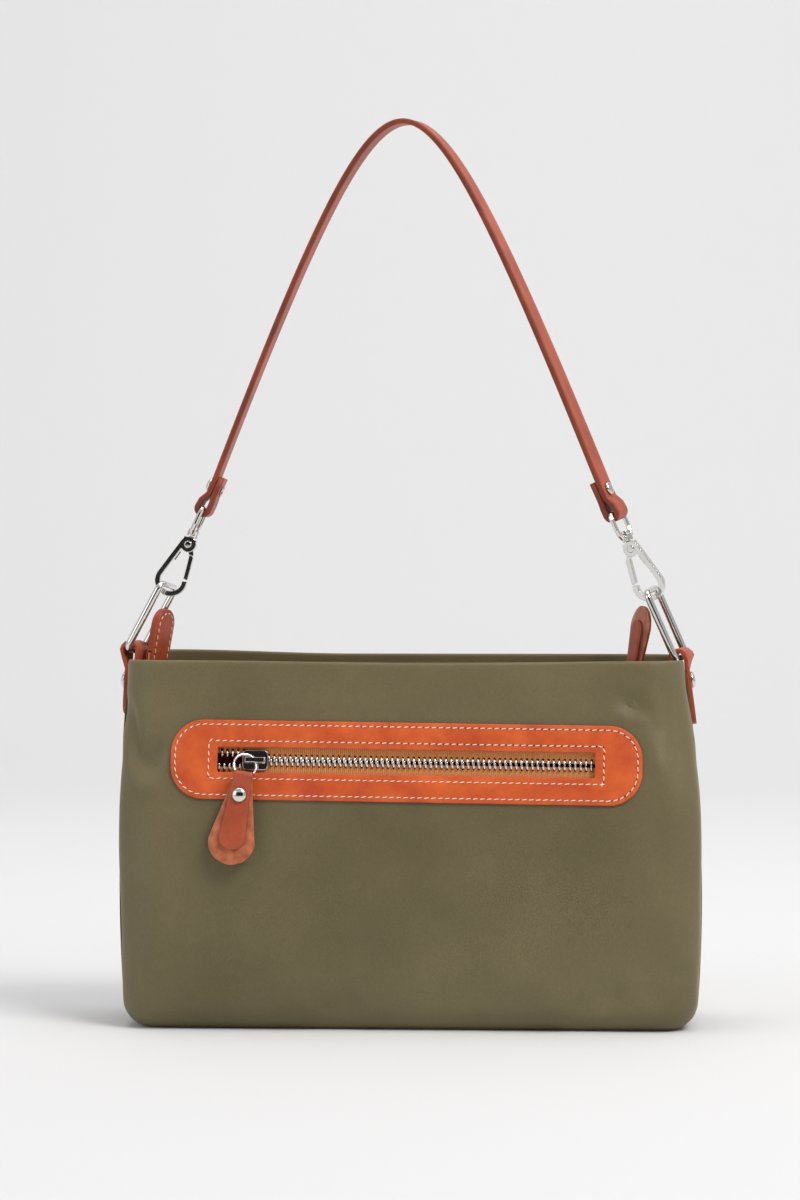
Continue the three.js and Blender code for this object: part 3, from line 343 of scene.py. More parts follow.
NYLON_PITCH = 0.55 * MM
nylon, nylon_shader = new_material("nylon_twill", srgb(108, 98, 68), 0.5, specular=0.35)
nylon_shader.inputs["Sheen Weight"].default_value = 0.35
nylon_shader.inputs["Sheen Roughness"].default_value = 0.4
nylon_shader.inputs["Sheen Tint"].default_value = (*srgb(190, 180, 140), 1)
tree = nylon.node_tree
place = add_node(tree, "ShaderNodeTexCoord")
ribs = add_node(tree, "ShaderNodeTexWave", {"wave_type": "BANDS", "bands_direction": "DIAGONAL"},
                Vector=place.outputs["UV"], Scale=1 / NYLON_PITCH / 20 * 6.2832, Distortion=0.4, Detail=1.0)
yarn = add_node(tree, "ShaderNodeTexNoise", Vector=place.outputs["Object"],
                Scale=900.0, Detail=3.0, Roughness=0.6)
cloud = add_node(tree, "ShaderNodeTexNoise", Vector=place.outputs["Object"], Scale=14.0, Detail=4.0)
tone = add_node(tree, "ShaderNodeValToRGB", Fac=cloud.outputs["Fac"])
tone.color_ramp.elements[0].position = 0.3
tone.color_ramp.elements[0].color = (*srgb(98, 88, 60), 1)
tone.color_ramp.elements[1].position = 0.7
tone.color_ramp.elements[1].color = (*srgb(113, 103, 73), 1)
speck = add_node(tree, "ShaderNodeMix", {"data_type": "RGBA", "blend_type": "OVERLAY"})
speck.inputs[0].default_value = 0.18
tree.links.new(tone.outputs["Color"], speck.inputs[6])
tree.links.new(yarn.outputs["Fac"], speck.inputs[7])
tree.links.new(speck.outputs[2], nylon_shader.inputs["Base Color"])
weave = add_node(tree, "ShaderNodeMath", {"operation": "ADD"})
tree.links.new(ribs.outputs["Fac"], weave.inputs[0])
tree.links.new(yarn.outputs["Fac"], weave.inputs[1])
bump = add_node(tree, "ShaderNodeBump", Height=weave.outputs[0], Strength=0.25, Distance=0.00012)
tree.links.new(bump.outputs["Normal"], nylon_shader.inputs["Normal"])


def below_tab(z):
    """1 low on the sides, falling to a tenth behind the side tabs."""
    return 1 - 0.9 * smoothstep(z, TAB_FROM - 15 * MM, TAB_FROM)


def shell_columns(y_side):
    """Corner, turn and share of the straight for one big panel, from its left seam to its right."""
    columns = []
    start = 180
    direction = 1 if y_side < 0 else -1
    for k in range(13):
        columns.append((-1, start + direction * 90 * k / 12, None))
    for k in range(1, 150):
        columns.append((0, start + direction * 90, k / 150))
    for k in range(13):
        columns.append((1, start + direction * (90 + 90 * k / 12), None))
    return columns


def shell_panel(name, y_side, folds, rim_line):
    """A big panel. rim_line gives how far the rim is raised along the bag."""
    columns = shell_columns(y_side)
    rows = []
    for z, tuck in wall_rows(BAG_HEIGHT, 104):
        row = []
        for x_side, turn, share in columns:
            if share is None:
                bare = wall_point(z, tuck, x_side, y_side, turn)
            else:
                left = wall_point(z, tuck, -1, y_side, turn)
                right = wall_point(z, tuck, 1, y_side, turn)
                bare = left.lerp(right, share)
            push = fold_depth(bare.x / MM, bare.z / MM, folds)
            if y_side < 0:
                push *= keep_flat(bare.x, bare.z)
            push *= smoothstep(z, 0, HEM_RADIUS)
            if share is None:
                seam = abs(math.cos(math.radians(turn)))
                push += SEAM_SINK * smoothstep(seam, 0.86, 1.0) * below_tab(z)
            push *= 1 - 0.7 * smoothstep(z, BAG_HEIGHT - 14 * MM, BAG_HEIGHT)
            out = Vector((math.cos(math.radians(turn)), math.sin(math.radians(turn)), 0))
            point = bare - push * out
            point.z += rim_line(bare.x) * smoothstep(z, BAG_HEIGHT - 60 * MM, BAG_HEIGHT - RIM_ROLL)
            row.append(point)
        rows.append(row)
    return skin(name, rows)


def keep_flat(x, z):
    """0 under the leather frame, where the cloth is sewn flat, and 1 well away from it."""
    gap_x = max(abs(x - ZIP_CENTRE) - FRAME_LENGTH / 2, 0)
    gap_z = max(abs(z - ZIP_HEIGHT) - FRAME_WIDTH / 2, 0)
    return smoothstep(math.hypot(gap_x, gap_z), 0.5 * MM, 9 * MM)


SLOT_HALF_LENGTH = 95 * MM
SLOT_HALF_HEIGHT = 8 * MM
front_cloth = shell_panel("front_cloth", -1, FRONT_FOLDS,
                          lambda x: MM * (-1.4 * math.exp(-(((x / MM - 10) / 70) ** 2))))
work = bmesh.new()
work.from_mesh(front_cloth.data)
opening = [f for f in work.faces if abs(f.calc_center_median().x - ZIP_CENTRE) < SLOT_HALF_LENGTH
           and abs(f.calc_center_median().z - ZIP_HEIGHT) < SLOT_HALF_HEIGHT and f.calc_center_median().y < 0]
bmesh.ops.delete(work, geom=opening, context="FACES")
work.to_mesh(front_cloth.data)
work.free()
back_cloth = shell_panel("back_cloth", 1, BACK_FOLDS,
                         lambda x: MM * (1.6 + 2.0 * smoothstep(-x / MM, 30, 120)))
for panel, node in ((front_cloth, "front_panel"), (back_cloth, "back_panel")):
    point_outwards(thicken(panel, CLOTH_THICKNESS, offset=-1.0 if panel is back_cloth else 1.0))
    finish_piece(panel, nylon, "bag", "nylon_twill", node)

# ---- Side gussets and base ----
# A narrow strip of the same nylon fills each side between the two big panels, and another closes the
# base. They are lightly sunk between their seams.
for side, x_side in (("left", -1), ("right", 1)):
    rows = []
    for z, tuck in wall_rows(GUSSET_HEIGHT, 60):
        low = wall_point(z, tuck, x_side, -1, 0 if x_side > 0 else 180)
        high = wall_point(z, tuck, x_side, 1, 0 if x_side > 0 else 180)
        row = []
        for k in range(25):
            share = k / 24
            sink = GUSSET_SINK * smoothstep(z, 0, HEM_RADIUS)
            sink *= below_tab(z)
            row.append(low.lerp(high, share) - Vector((x_side * sink, 0, 0)))
        rows.append(row)
    gusset = point_outwards(thicken(skin(f"{side}_side_cloth", rows), CLOTH_THICKNESS, offset=0.0))
    finish_piece(gusset, nylon, "bag", "nylon_twill", f"{side}_gusset")
wear("bottom_panel", nylon)

# ---- Inside: linings and facings ----
# Two nylon facings run down inside the mouth and level out to the sunk zip. Below it hangs the main
# lining, and the front pocket has a dark red cotton pouch that shows between the parted teeth.
TOP_ZIP_HEIGHT = 145 * MM
FACING_REACH = 8.5 * MM
lining, lining_shader = new_material("inside_cloth", srgb(74, 66, 48), 0.8, specular=0.2)
tree = lining.node_tree
place = add_node(tree, "ShaderNodeTexCoord")
threads = add_node(tree, "ShaderNodeTexNoise", Vector=place.outputs["Object"], Scale=1200.0, Detail=2.0)
bump = add_node(tree, "ShaderNodeBump", Height=threads.outputs["Fac"], Strength=0.3, Distance=0.0001)
tree.links.new(bump.outputs["Normal"], lining_shader.inputs["Normal"])
cotton, cotton_shader = new_material("red_cotton", srgb(150, 28, 32), 0.85, specular=0.15)
tree = cotton.node_tree
place = add_node(tree, "ShaderNodeTexCoord")
threads = add_node(tree, "ShaderNodeTexNoise", Vector=place.outputs["Object"], Scale=1500.0, Detail=2.0)
bump = add_node(tree, "ShaderNodeBump", Height=threads.outputs["Fac"], Strength=0.35, Distance=0.0001)
tree.links.new(bump.outputs["Normal"], cotton_shader.inputs["Normal"])
wear("main_lining", lining)
wear("front_pocket_lining", cotton)

for side, y_side in (("front", -1), ("back", 1)):
    low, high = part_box(f"top_facing_{side}")
    rows = []
    for j in range(26):
        share = j / 25
        row = []
        for i in range(61):
            x = low.x + (high.x - low.x) * i / 60
            wave = 0.5 * MM * math.sin(i * 0.55 + y_side) * math.sin(math.pi * share)
            if share < 0.5:
                z = high.z - (high.z - low.z - 0.6 * MM) * share * 2
                y = half_depth(z) - 2.2 * MM
            else:
                z = low.z + 0.6 * MM
                y = half_depth(z) - 2.2 * MM - (half_depth(z) - 2.2 * MM - FACING_REACH) * (share - 0.5) * 2
            row.append(Vector((x, y_side * (y + wave * (share < 0.5)), z + abs(wave) * (share >= 0.5))))
        rows.append(row)
    facing = point_outwards(thicken(skin(f"{side}_facing_cloth", rows), CLOTH_THICKNESS, offset=0.0))
    finish_piece(facing, nylon, "bag", "nylon_inside", f"top_facing_{side}")

# ---- Leather frame of the front pocket ----
# One flat piece of orange vegetable-tanned leather with round ends, cut out for the zip and sewn on with
# two rows of cream thread. Its cut edge is raw and paler.
FRAME_CORNER = 16 * MM
FRAME_THICKNESS = 1.5 * MM
FRAME_GAP = 0.3 * MM
SLOT_LENGTH = 180 * MM
SLOT_WIDTH = 12 * MM
SLOT_CORNER = 1 * MM
EDGE_ROUND = 0.45 * MM
zip_x = Vector(joint["front_slider_slide"]["axis"])
zip_out = Vector((0, -math.cos(WALL_LEAN), math.sin(WALL_LEAN)))
zip_up = zip_x.cross(-zip_out)
zip_origin = Vector((ZIP_CENTRE, -half_depth(ZIP_HEIGHT), ZIP_HEIGHT))


def leather(name, grain, light, dark):
    """Leather with pebbled grain and cloudy dye."""
    material, shader = new_material(name, light, 0.42, specular=0.45)
    tree = material.node_tree
    place = add_node(tree, "ShaderNodeTexCoord")
    dye = add_node(tree, "ShaderNodeTexNoise", Vector=place.outputs["Object"],
                   Scale=55.0, Detail=5.0, Roughness=0.62)
    tone = add_node(tree, "ShaderNodeValToRGB", Fac=dye.outputs["Fac"])
    tone.color_ramp.elements[0].position = 0.32
    tone.color_ramp.elements[0].color = (*dark, 1)
    tone.color_ramp.elements[1].position = 0.66
    tone.color_ramp.elements[1].color = (*light, 1)
    pebbles = add_node(tree, "ShaderNodeTexVoronoi", {"feature": "SMOOTH_F1"}, Vector=place.outputs["Object"],
                       Scale=grain)
    fine = add_node(tree, "ShaderNodeTexNoise", Vector=place.outputs["Object"], Scale=grain * 1.7, Detail=4.0)
    height = add_node(tree, "ShaderNodeMath", {"operation": "MULTIPLY_ADD"})
    tree.links.new(pebbles.outputs["Distance"], height.inputs[0])
    height.inputs[1].default_value = -1.2
    tree.links.new(fine.outputs["Fac"], height.inputs[2])
    bump = add_node(tree, "ShaderNodeBump", Height=height.outputs[0], Strength=0.35, Distance=0.00018)
    rough = add_node(tree, "ShaderNodeMapRange", Value=fine.outputs["Fac"], To_Min=0.34, To_Max=0.55)
    tree.links.new(tone.outputs["Color"], shader.inputs["Base Color"])
    tree.links.new(bump.outputs["Normal"], shader.inputs["Normal"])
    tree.links.new(rough.outputs["Result"], shader.inputs["Roughness"])
    return material


orange_leather = leather("orange_leather", 1500.0, srgb(222, 100, 42), srgb(190, 70, 26))
brown_leather = leather("brown_leather", 1500.0, srgb(182, 84, 50), srgb(150, 58, 32))
edge_leather = leather("leather_edge", 2500.0, srgb(196, 112, 52), srgb(160, 76, 36))
dark_edge = leather("dark_edge", 2500.0, srgb(140, 62, 38), srgb(104, 42, 24))


def in_zip(x, y, z):
    """A point in the sewn zip's own frame: along it, into the bag and up across it."""
    return zip_origin + x * zip_x - y * zip_out + z * zip_up


def round_outline(half_x, half_z, radius, steps):
    """The outline of a rounded rectangle, anticlockwise, as pairs."""
    points = []
    for x_sign, z_sign, start in ((1, -1, -90), (1, 1, 0), (-1, 1, 90), (-1, -1, 180)):
        for k in range(steps + 1):
            turn = math.radians(start + 90 * k / steps)
            points.append((x_sign * (half_x - radius) + radius * math.cos(turn),
                           z_sign * (half_z - radius) + radius * math.sin(turn)))
    return points


def plate_with_slot(name, outer, inner, thickness, back_y, edge):
    """A flat ring-shaped plate with rounded edges, from outline functions of an inset."""
    front_y = back_y - thickness
    levels = []
    for inset, y in ((0, back_y), (0, front_y + edge), (0.3 * edge, front_y + 0.3 * edge), (edge, front_y)):
        levels.append((outer(inset), y))
    for inset, y in ((edge, front_y), (0.3 * edge, front_y + 0.3 * edge), (0, front_y + edge), (0, back_y)):
        levels.append((inner(inset), y))
    count = len(levels[0][0])
    points = [in_zip(x, y, z) for outline, y in levels for x, z in outline]
    faces = []
    for j in range(len(levels)):
        k = (j + 1) % len(levels)
        for i in range(count):
            n = (i + 1) % count
            faces.append((j * count + i, j * count + n, k * count + n, k * count + i))
    return link_mesh(name, points, faces)


frame_plate = plate_with_slot(
    "leather_frame",
    lambda inset: round_outline(FRAME_LENGTH / 2 - inset, FRAME_WIDTH / 2 - inset, FRAME_CORNER - inset, 16),
    lambda inset: round_outline(SLOT_LENGTH / 2 + inset, SLOT_WIDTH / 2 + inset, SLOT_CORNER + inset, 16),
    FRAME_THICKNESS, -FRAME_GAP, EDGE_ROUND)
point_outwards(frame_plate)
frame_plate.data.materials.append(orange_leather)
frame_plate.data.materials.append(edge_leather)
for polygon in frame_plate.data.polygons:
    if abs(polygon.normal.dot(zip_out)) < 0.35:
        polygon.material_index = 1
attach(frame_plate, "bag")
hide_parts("front_zip_frame")

# ---- Stitching ----
# Cream thread, sewn at 3.3 mm a stitch. Each stitch lies between two needle holes and leans a little. The
# holes are flat dark discs on the surface: painted shade of the holes.
# One node tree lays a piece at an even pitch along any drawn line.
STITCH_PITCH = 3.3 * MM
STITCH_LENGTH = 2.5 * MM
THREAD_RADIUS = 0.26 * MM
STITCH_LEAN = math.radians(9)


def repeat_tree():
    """A node tree that sets a piece at an even pitch along a line, its X along it and its Z to Up."""
    tree = bpy.data.node_groups.new("repeat_along_line", "GeometryNodeTree")
    interface = tree.interface
    interface.new_socket("Geometry", in_out="OUTPUT", socket_type="NodeSocketGeometry")
    interface.new_socket("Geometry", in_out="INPUT", socket_type="NodeSocketGeometry")
    interface.new_socket("Piece", in_out="INPUT", socket_type="NodeSocketObject")
    interface.new_socket("Pitch", in_out="INPUT", socket_type="NodeSocketFloat")
    interface.new_socket("Up", in_out="INPUT", socket_type="NodeSocketVector")
    interface.new_socket("Lean", in_out="INPUT", socket_type="NodeSocketFloat")
    interface.new_socket("Material", in_out="INPUT", socket_type="NodeSocketMaterial")
    given = tree.nodes.new("NodeGroupInput").outputs
    result = tree.nodes.new("NodeGroupOutput")
    line = add_node(tree, "GeometryNodeMeshToCurve")
    tree.links.new(given["Geometry"], line.inputs["Mesh"])
    even = add_node(tree, "GeometryNodeResampleCurve", {"mode": "LENGTH"}, Curve=line.outputs["Curve"])
    tree.links.new(given["Pitch"], even.inputs["Length"])
    tangent = add_node(tree, "GeometryNodeInputTangent")
    along = add_node(tree, "FunctionNodeAlignRotationToVector", {"axis": "X"},
                     Vector=tangent.outputs["Tangent"])
    upright = add_node(tree, "FunctionNodeAlignRotationToVector", {"axis": "Z", "pivot_axis": "X"},
                       Rotation=along.outputs["Rotation"])
    tree.links.new(given["Up"], upright.inputs["Vector"])
    lean = add_node(tree, "FunctionNodeAxisAngleToRotation", Axis=(0, 0, 1))
    tree.links.new(given["Lean"], lean.inputs["Angle"])
    turned = add_node(tree, "FunctionNodeRotateRotation", {"rotation_space": "LOCAL"},
                      Rotation=upright.outputs["Rotation"], Rotate_By=lean.outputs["Rotation"])
    source = add_node(tree, "GeometryNodeObjectInfo")
    tree.links.new(given["Piece"], source.inputs["Object"])
    placed = add_node(tree, "GeometryNodeInstanceOnPoints", Points=even.outputs["Curve"],
                      Instance=source.outputs["Geometry"], Rotation=turned.outputs["Rotation"])
    real = add_node(tree, "GeometryNodeRealizeInstances", Geometry=placed.outputs["Instances"])
    dressed = add_node(tree, "GeometryNodeSetMaterial", Geometry=real.outputs["Geometry"])
    tree.links.new(given["Material"], dressed.inputs["Material"])
    tree.links.new(dressed.outputs["Geometry"], result.inputs["Geometry"])
    return tree


REPEAT = repeat_tree()
REPEAT_SOCKET = {item.name: item.identifier for item in REPEAT.interface.items_tree if item.in_out == "INPUT"}


def repeat_along(name, lines, piece, pitch, up, material, lean=0.0):
    """A plain mesh of the piece repeated along each open or closed line. A closed line repeats its start."""
    points = [p for line in lines for p in line]
    edges = []
    start = 0
    for line in lines:
        edges += [(start + k, start + k + 1) for k in range(len(line) - 1)]
        start += len(line)
    mesh = bpy.data.meshes.new(name)
    mesh.from_pydata([tuple(p) for p in points], edges, [])
    holder = bpy.data.objects.new(name, mesh)
    bpy.context.scene.collection.objects.link(holder)
    modifier = holder.modifiers.new("repeat", "NODES")
    modifier.node_group = REPEAT
    given = {"Piece": piece, "Pitch": pitch, "Up": tuple(up), "Lean": lean, "Material": material}
    for key, value in given.items():
        modifier[REPEAT_SOCKET[key]] = value
    return smooth(applied(holder))


def template(name, build):
    """A small piece to be repeated, drawn with bmesh and kept out of the render."""
    work = bmesh.new()
    build(work)
    mesh = bpy.data.meshes.new(name)
    work.to_mesh(mesh)
    work.free()
    return bpy.data.objects.new(name, mesh)


def draw_stitch(work):
    bmesh.ops.create_uvsphere(work, u_segments=8, v_segments=6, radius=1.0)
    bmesh.ops.rotate(work, verts=work.verts, matrix=Matrix.Rotation(math.radians(90), 3, "Y"))
    bmesh.ops.scale(work, verts=work.verts, vec=(STITCH_LENGTH / 2, THREAD_RADIUS, THREAD_RADIUS))


def draw_needle_hole(work):
    bmesh.ops.create_uvsphere(work, u_segments=8, v_segments=6, radius=0.36 * MM)
    bmesh.ops.scale(work, verts=work.verts, vec=(1, 1, 0.25))


stitch = template("stitch", draw_stitch)
needle_hole = template("needle_hole", draw_needle_hole)
thread, thread_shader = new_material("cream_thread", srgb(238, 226, 206), 0.6, specular=0.3)
tree = thread.node_tree
place = add_node(tree, "ShaderNodeTexCoord")
twist = add_node(tree, "ShaderNodeTexNoise", Vector=place.outputs["Object"], Scale=4000.0)
bump = add_node(tree, "ShaderNodeBump", Height=twist.outputs["Fac"], Strength=0.4, Distance=0.00008)
tree.links.new(bump.outputs["Normal"], thread_shader.inputs["Normal"])
# The needle holes' dark brown is painted shade: the shade inside each hole, laid on the leather as a flat
# disc.
hole_shade, hole_shade_shader = new_material("needle_hole", srgb(84, 38, 20), 0.9, specular=0.1)
tree = hole_shade.node_tree
place = add_node(tree, "ShaderNodeTexCoord")
grit = add_node(tree, "ShaderNodeTexNoise", Vector=place.outputs["Object"], Scale=3000.0)
bump = add_node(tree, "ShaderNodeBump", Height=grit.outputs["Fac"], Strength=0.3, Distance=0.0001)
tree.links.new(bump.outputs["Normal"], hole_shade_shader.inputs["Normal"])


def refine_line(points, step):
    """Points on a polyline at a step or closer."""
    fine = []
    for a, b in zip(points, points[1:]):
        count = max(1, int((b - a).length / step))
        fine += [a.lerp(b, k / count) for k in range(count)]
    return fine + [points[-1]]


def sew(name, lines, up, body, pitch=STITCH_PITCH, lean=STITCH_LEAN, lift=0.0):
    """A row of stitches along each line, with needle holes between them, drawn as dark discs of painted
    shade.
    """
    raised = [[p + lift * up for p in line] for line in lines]
    row = repeat_along(name, raised, stitch, pitch, up, thread, lean)
    finish_piece(row, None, body, "leather")
    shifted = []
    for line in raised:
        fine = refine_line(line, pitch / 12)
        walked, start = 0.0, 0
        while walked < pitch / 2:
            walked += (fine[start + 1] - fine[start]).length
            start += 1
        shifted.append(fine[start:])
    holes = repeat_along(f"{name}_holes", shifted, needle_hole, pitch, up, hole_shade)
    finish_piece(holes, None, body, "leather")


def closed_line(outline, y):
    points = [in_zip(x, y, z) for x, z in outline]
    return points + [points[0]]


FACE_Y = -FRAME_GAP - FRAME_THICKNESS
OUTER_INSET = 2.2 * MM
outer_outline = round_outline(FRAME_LENGTH / 2 - OUTER_INSET, FRAME_WIDTH / 2 - OUTER_INSET,
                              FRAME_CORNER - OUTER_INSET, 16)
inner_outline = round_outline(SLOT_LENGTH / 2 + 4.2 * MM, SLOT_WIDTH / 2 + 3 * MM, 0.8 * MM, 3)
outer_row = closed_line(outer_outline, FACE_Y)
inner_row = closed_line(inner_outline, FACE_Y)
sew("frame_stitches", [outer_row, inner_row], zip_out, "bag", lift=0.05 * MM)

# ---- Zips ----
# Both zips have silver metal teeth clamped on orange cotton tape. The teeth mesh right of the front
# slider and left of the top one, and part beyond them.
TOOTH_PITCH = 2.54 * MM
ROW_OPENING = 2.4 * MM
TOOTH_DEPTH = 2.8 * MM
ROW_JOIN = 0.5 * MM
ROW_PARTED = -4.5 * MM
FRONT_SLIDER_AT = -72 * MM
FRONT_ZIP_END = 94 * MM
TAPE_PLANE = 1.8 * MM
TOP_ZIP_LEFT = -105 * MM
TOP_ZIP_RIGHT = 112 * MM
TOP_SLIDER_AT = 104.4 * MM

tape, tape_shader = new_material("zip_tape", srgb(226, 150, 92), 0.8, specular=0.2)
tree = tape.node_tree
place = add_node(tree, "ShaderNodeTexCoord")
rib = add_node(tree, "ShaderNodeTexWave", {"wave_type": "BANDS", "bands_direction": "X"},
               Vector=place.outputs["Object"], Scale=330.0, Distortion=1.5, Detail=2.0)
tone = add_node(tree, "ShaderNodeValToRGB", Fac=rib.outputs["Fac"])
tone.color_ramp.elements[0].color = (*srgb(205, 122, 66), 1)
tone.color_ramp.elements[1].color = (*srgb(236, 166, 106), 1)
bump = add_node(tree, "ShaderNodeBump", Height=rib.outputs["Fac"], Strength=0.5, Distance=0.0002)
tree.links.new(tone.outputs["Color"], tape_shader.inputs["Base Color"])
tree.links.new(bump.outputs["Normal"], tape_shader.inputs["Normal"])
wear("top_zip_tail", tape)

silver, silver_shader = new_material("silver_metal", srgb(222, 220, 216), 0.16, metallic=1.0)
tree = silver.node_tree
place = add_node(tree, "ShaderNodeTexCoord")
smear = add_node(tree, "ShaderNodeTexNoise", Vector=place.outputs["Object"], Scale=160.0, Detail=4.0)
rough = add_node(tree, "ShaderNodeMapRange", Value=smear.outputs["Fac"], To_Min=0.06, To_Max=0.15)
tree.links.new(rough.outputs["Result"], silver_shader.inputs["Roughness"])


def draw_tooth(work):
    """A tooth: legs clamped on the tape's edge at one end, and a nib that meshes past the centre line."""
    outline = [(-0.5, 3.0), (-0.62, 1.6), (-0.5, 0.2), (-0.42, -0.7), (-0.2, -1.0),
               (0.2, -1.0), (0.42, -0.7), (0.5, 0.2), (0.62, 1.6), (0.5, 3.0)]
    low = [work.verts.new((x * MM, y * MM, -TOOTH_DEPTH / 2)) for x, y in outline]
    high = [work.verts.new((x * MM, y * MM, TOOTH_DEPTH / 2)) for x, y in outline]
    work.faces.new(low[::-1])
    work.faces.new(high)
    for k in range(len(outline)):
        n = (k + 1) % len(outline)
        work.faces.new((low[k], low[n], high[n], high[k]))
    bmesh.ops.bevel(work, geom=list(work.edges), offset=0.14 * MM, segments=2,
                    affect="EDGES", clamp_overlap=True)


tooth = template("tooth", draw_tooth)


def row_shift(x):
    share = (ROW_JOIN - x) / (ROW_JOIN - ROW_PARTED)
    return ROW_OPENING * min(max(share, 0), 1)


def zip_row(name, low, high, slider_at, side, at, out, node):
    """One row of teeth. at places a point along and across the zip; side is +1 for its upper row."""
    start = low + (0 if side > 0 else TOOTH_PITCH / 2) + 0.8 * MM
    line = []
    x = start
    while x < high - 0.5 * MM:
        line.append(at(x, side * row_shift(x - slider_at)))
        x += TOOTH_PITCH / 2
    if side < 0:
        line.reverse()
    row = repeat_along(name, [line], tooth, TOOTH_PITCH, out, silver)
    finish_piece(row, None, "bag", "silver_metal", node)


TAPE_EDGE = 0.9 * MM  # centre line to the tape's inner edge, between the legs of the teeth
TAPE_WIDTH = 15 * MM
TAPE_THICKNESS = 0.6 * MM


def tape_strip(name, low, high, slider_at, side, at, node):
    """One half of a zip's tape. Its inner edge follows its row of teeth."""
    rows = []
    for share in (0.0, 0.03, 0.08, 0.16, 0.3, 0.5, 0.75, 1.0):
        row = []
        for k in range(113):
            x = low + (high - low) * k / 112
            inner = TAPE_EDGE + row_shift(x - slider_at)
            row.append(at(x, side * (inner + (TAPE_WIDTH - inner) * share)))
        rows.append(row)
    strip = point_outwards(thicken(skin(name, rows), TAPE_THICKNESS, offset=0.0))
    finish_piece(strip, tape, "bag", "zip_tape", node)


for name, side in (("upper", 1), ("lower", -1)):
    tape_strip(f"front_tape_cloth_{name}", -98 * MM, 98 * MM, FRONT_SLIDER_AT, side,
               lambda x, z: in_zip(x, TAPE_PLANE, z), f"front_tape_{name}")
for name, side in (("front", 1), ("back", -1)):
    tape_strip(f"top_tape_cloth_{name}", -113 * MM, 109 * MM, -TOP_SLIDER_AT, side,
               lambda x, z: Vector((-x, -z, TOP_ZIP_HEIGHT)), f"top_tape_{name}")

for name, side in (("upper", 1), ("lower", -1)):
    zip_row(f"front_zip_teeth_{name}", -FRONT_ZIP_END, FRONT_ZIP_END, FRONT_SLIDER_AT, side,
            lambda x, z: in_zip(x, TAPE_PLANE, z), zip_out, f"front_teeth_{name}")
for name, side in (("front", 1), ("back", -1)):
    zip_row(f"top_zip_teeth_{name}", -TOP_ZIP_RIGHT, -TOP_ZIP_LEFT, -TOP_SLIDER_AT, side,
            lambda x, z: Vector((-x, -z, TOP_ZIP_HEIGHT)), Vector((0, 0, 1)), f"top_teeth_{name}")

# ---- Sliders, snap hooks, pins and swivels ----
# Die-cast pieces, plated bright silver. Casting leaves every edge softly rounded, so each is the CAD
# solid remeshed finely and relaxed.
FINE_VOXEL = 0.16 * MM


def cast(node, relax, body):
    """A cast-metal piece: the CAD solid with its edges softened."""
    source = frame["nodes"][node]
    piece = bpy.data.objects.new(f"{node}_cast", source.data.copy())
    piece.data.materials.clear()
    bpy.context.scene.collection.objects.link(piece)
    work = bmesh.new()
    work.from_mesh(piece.data)
    bmesh.ops.remove_doubles(work, verts=work.verts, dist=1e-6)
    work.to_mesh(piece.data)
    work.free()
    remesh = piece.modifiers.new("remesh", "REMESH")
    remesh.mode = "VOXEL"
    remesh.voxel_size = FINE_VOXEL
    relaxed = piece.modifiers.new("relax", "SMOOTH")
    relaxed.factor = 0.5
    relaxed.iterations = relax
    point_outwards(applied(piece))
    return finish_piece(piece, silver, body, "silver_metal", node)


cast("front_slider", 3, "front_slider")
cast("top_slider", 3, "top_slider")
for side in ("left", "right"):
    cast(f"{side}_hook_body", 4, f"{side}_hook")
    cast(f"{side}_hook_gate", 3, f"{side}_gate")
    cast(f"{side}_hook_pin", 2, f"{side}_hook")
    cast(f"{side}_swivel_eye", 3, "strap")
    wear(f"{side}_hook_spring", silver)

# ---- Pull rings and oblong rings ----
# Bent wire, closed and plated. The oblong rings are thicker along their long sides than at their ends.
PULL_RING_RADIUS = 5.5 * MM
PULL_WIRE = 0.6 * MM
RING_LENGTH = 36 * MM
RING_WIDTH = 20.2 * MM
RING_CORNER = 3.5 * MM
RING_END_BAR = 1.5 * MM
RING_SIDE_BAR = 1.8 * MM


def closed_tube(name, centres, radii, normal, segments=16):
    """A ring-shaped tube through centres, which lie in the plane across normal."""
    count = len(centres)
    points = []
    for i, centre in enumerate(centres):
        along = (centres[(i + 1) % count] - centres[i - 1]).normalized()
        side = along.cross(normal).normalized()
        for k in range(segments):
            turn = 2 * math.pi * k / segments
            points.append(centre + radii[i] * (math.cos(turn) * side + math.sin(turn) * normal))
    faces = []
    for i in range(count):
        j = (i + 1) % count
        for k in range(segments):
            n = (k + 1) % segments
            faces.append((i * segments + k, i * segments + n, j * segments + n, j * segments + k))
    return point_outwards(link_mesh(name, points, faces))


for which in ("front", "top"):
    centre = Vector(joint[f"{which}_puller_swing"]["pos_m"])
    normal = Vector(joint[f"{which}_puller_swing"]["axis"]).normalized()
    first = normal.orthogonal().normalized()
    second = normal.cross(first)
    circle = [centre + PULL_RING_RADIUS * (math.cos(t) * first + math.sin(t) * second)
              for t in (2 * math.pi * k / 64 for k in range(64))]
    wire = closed_tube(f"{which}_ring_wire", circle, [PULL_WIRE] * 64, normal, 12)
    finish_piece(wire, silver, f"{which}_pull_ring", "silver_metal", f"{which}_pull_ring")

for side in ("left", "right"):
    bar = Vector(joint[f"{side}_ring_swing"]["pos_m"])
    across = Vector(joint[f"{side}_ring_swing"]["axis"]).normalized()
    up = Vector((-across.z, 0, across.x)).normalized()
    up = up if up.z > 0 else -up
    normal = across.cross(up)
    centres, radii = [], []
    for y, z in round_outline(RING_WIDTH / 2, RING_LENGTH / 2, RING_CORNER, 10):
        centres.append(bar + y * across + (RING_LENGTH / 2 + z) * up)
        end_share = smoothstep(abs(z), RING_LENGTH / 2 - RING_CORNER, RING_LENGTH / 2)
        radii.append(RING_SIDE_BAR + (RING_END_BAR - RING_SIDE_BAR) * end_share)
    wire = closed_tube(f"{side}_ring_wire", centres, radii, normal)
    finish_piece(wire, silver, f"{side}_ring", "silver_metal", f"{side}_ring")

# ---- Rivets ----
# Two-part nickel rivets: a low domed cap over the leather and a flat back cap behind it.
RIVET_POST = 1.2 * MM  # radius


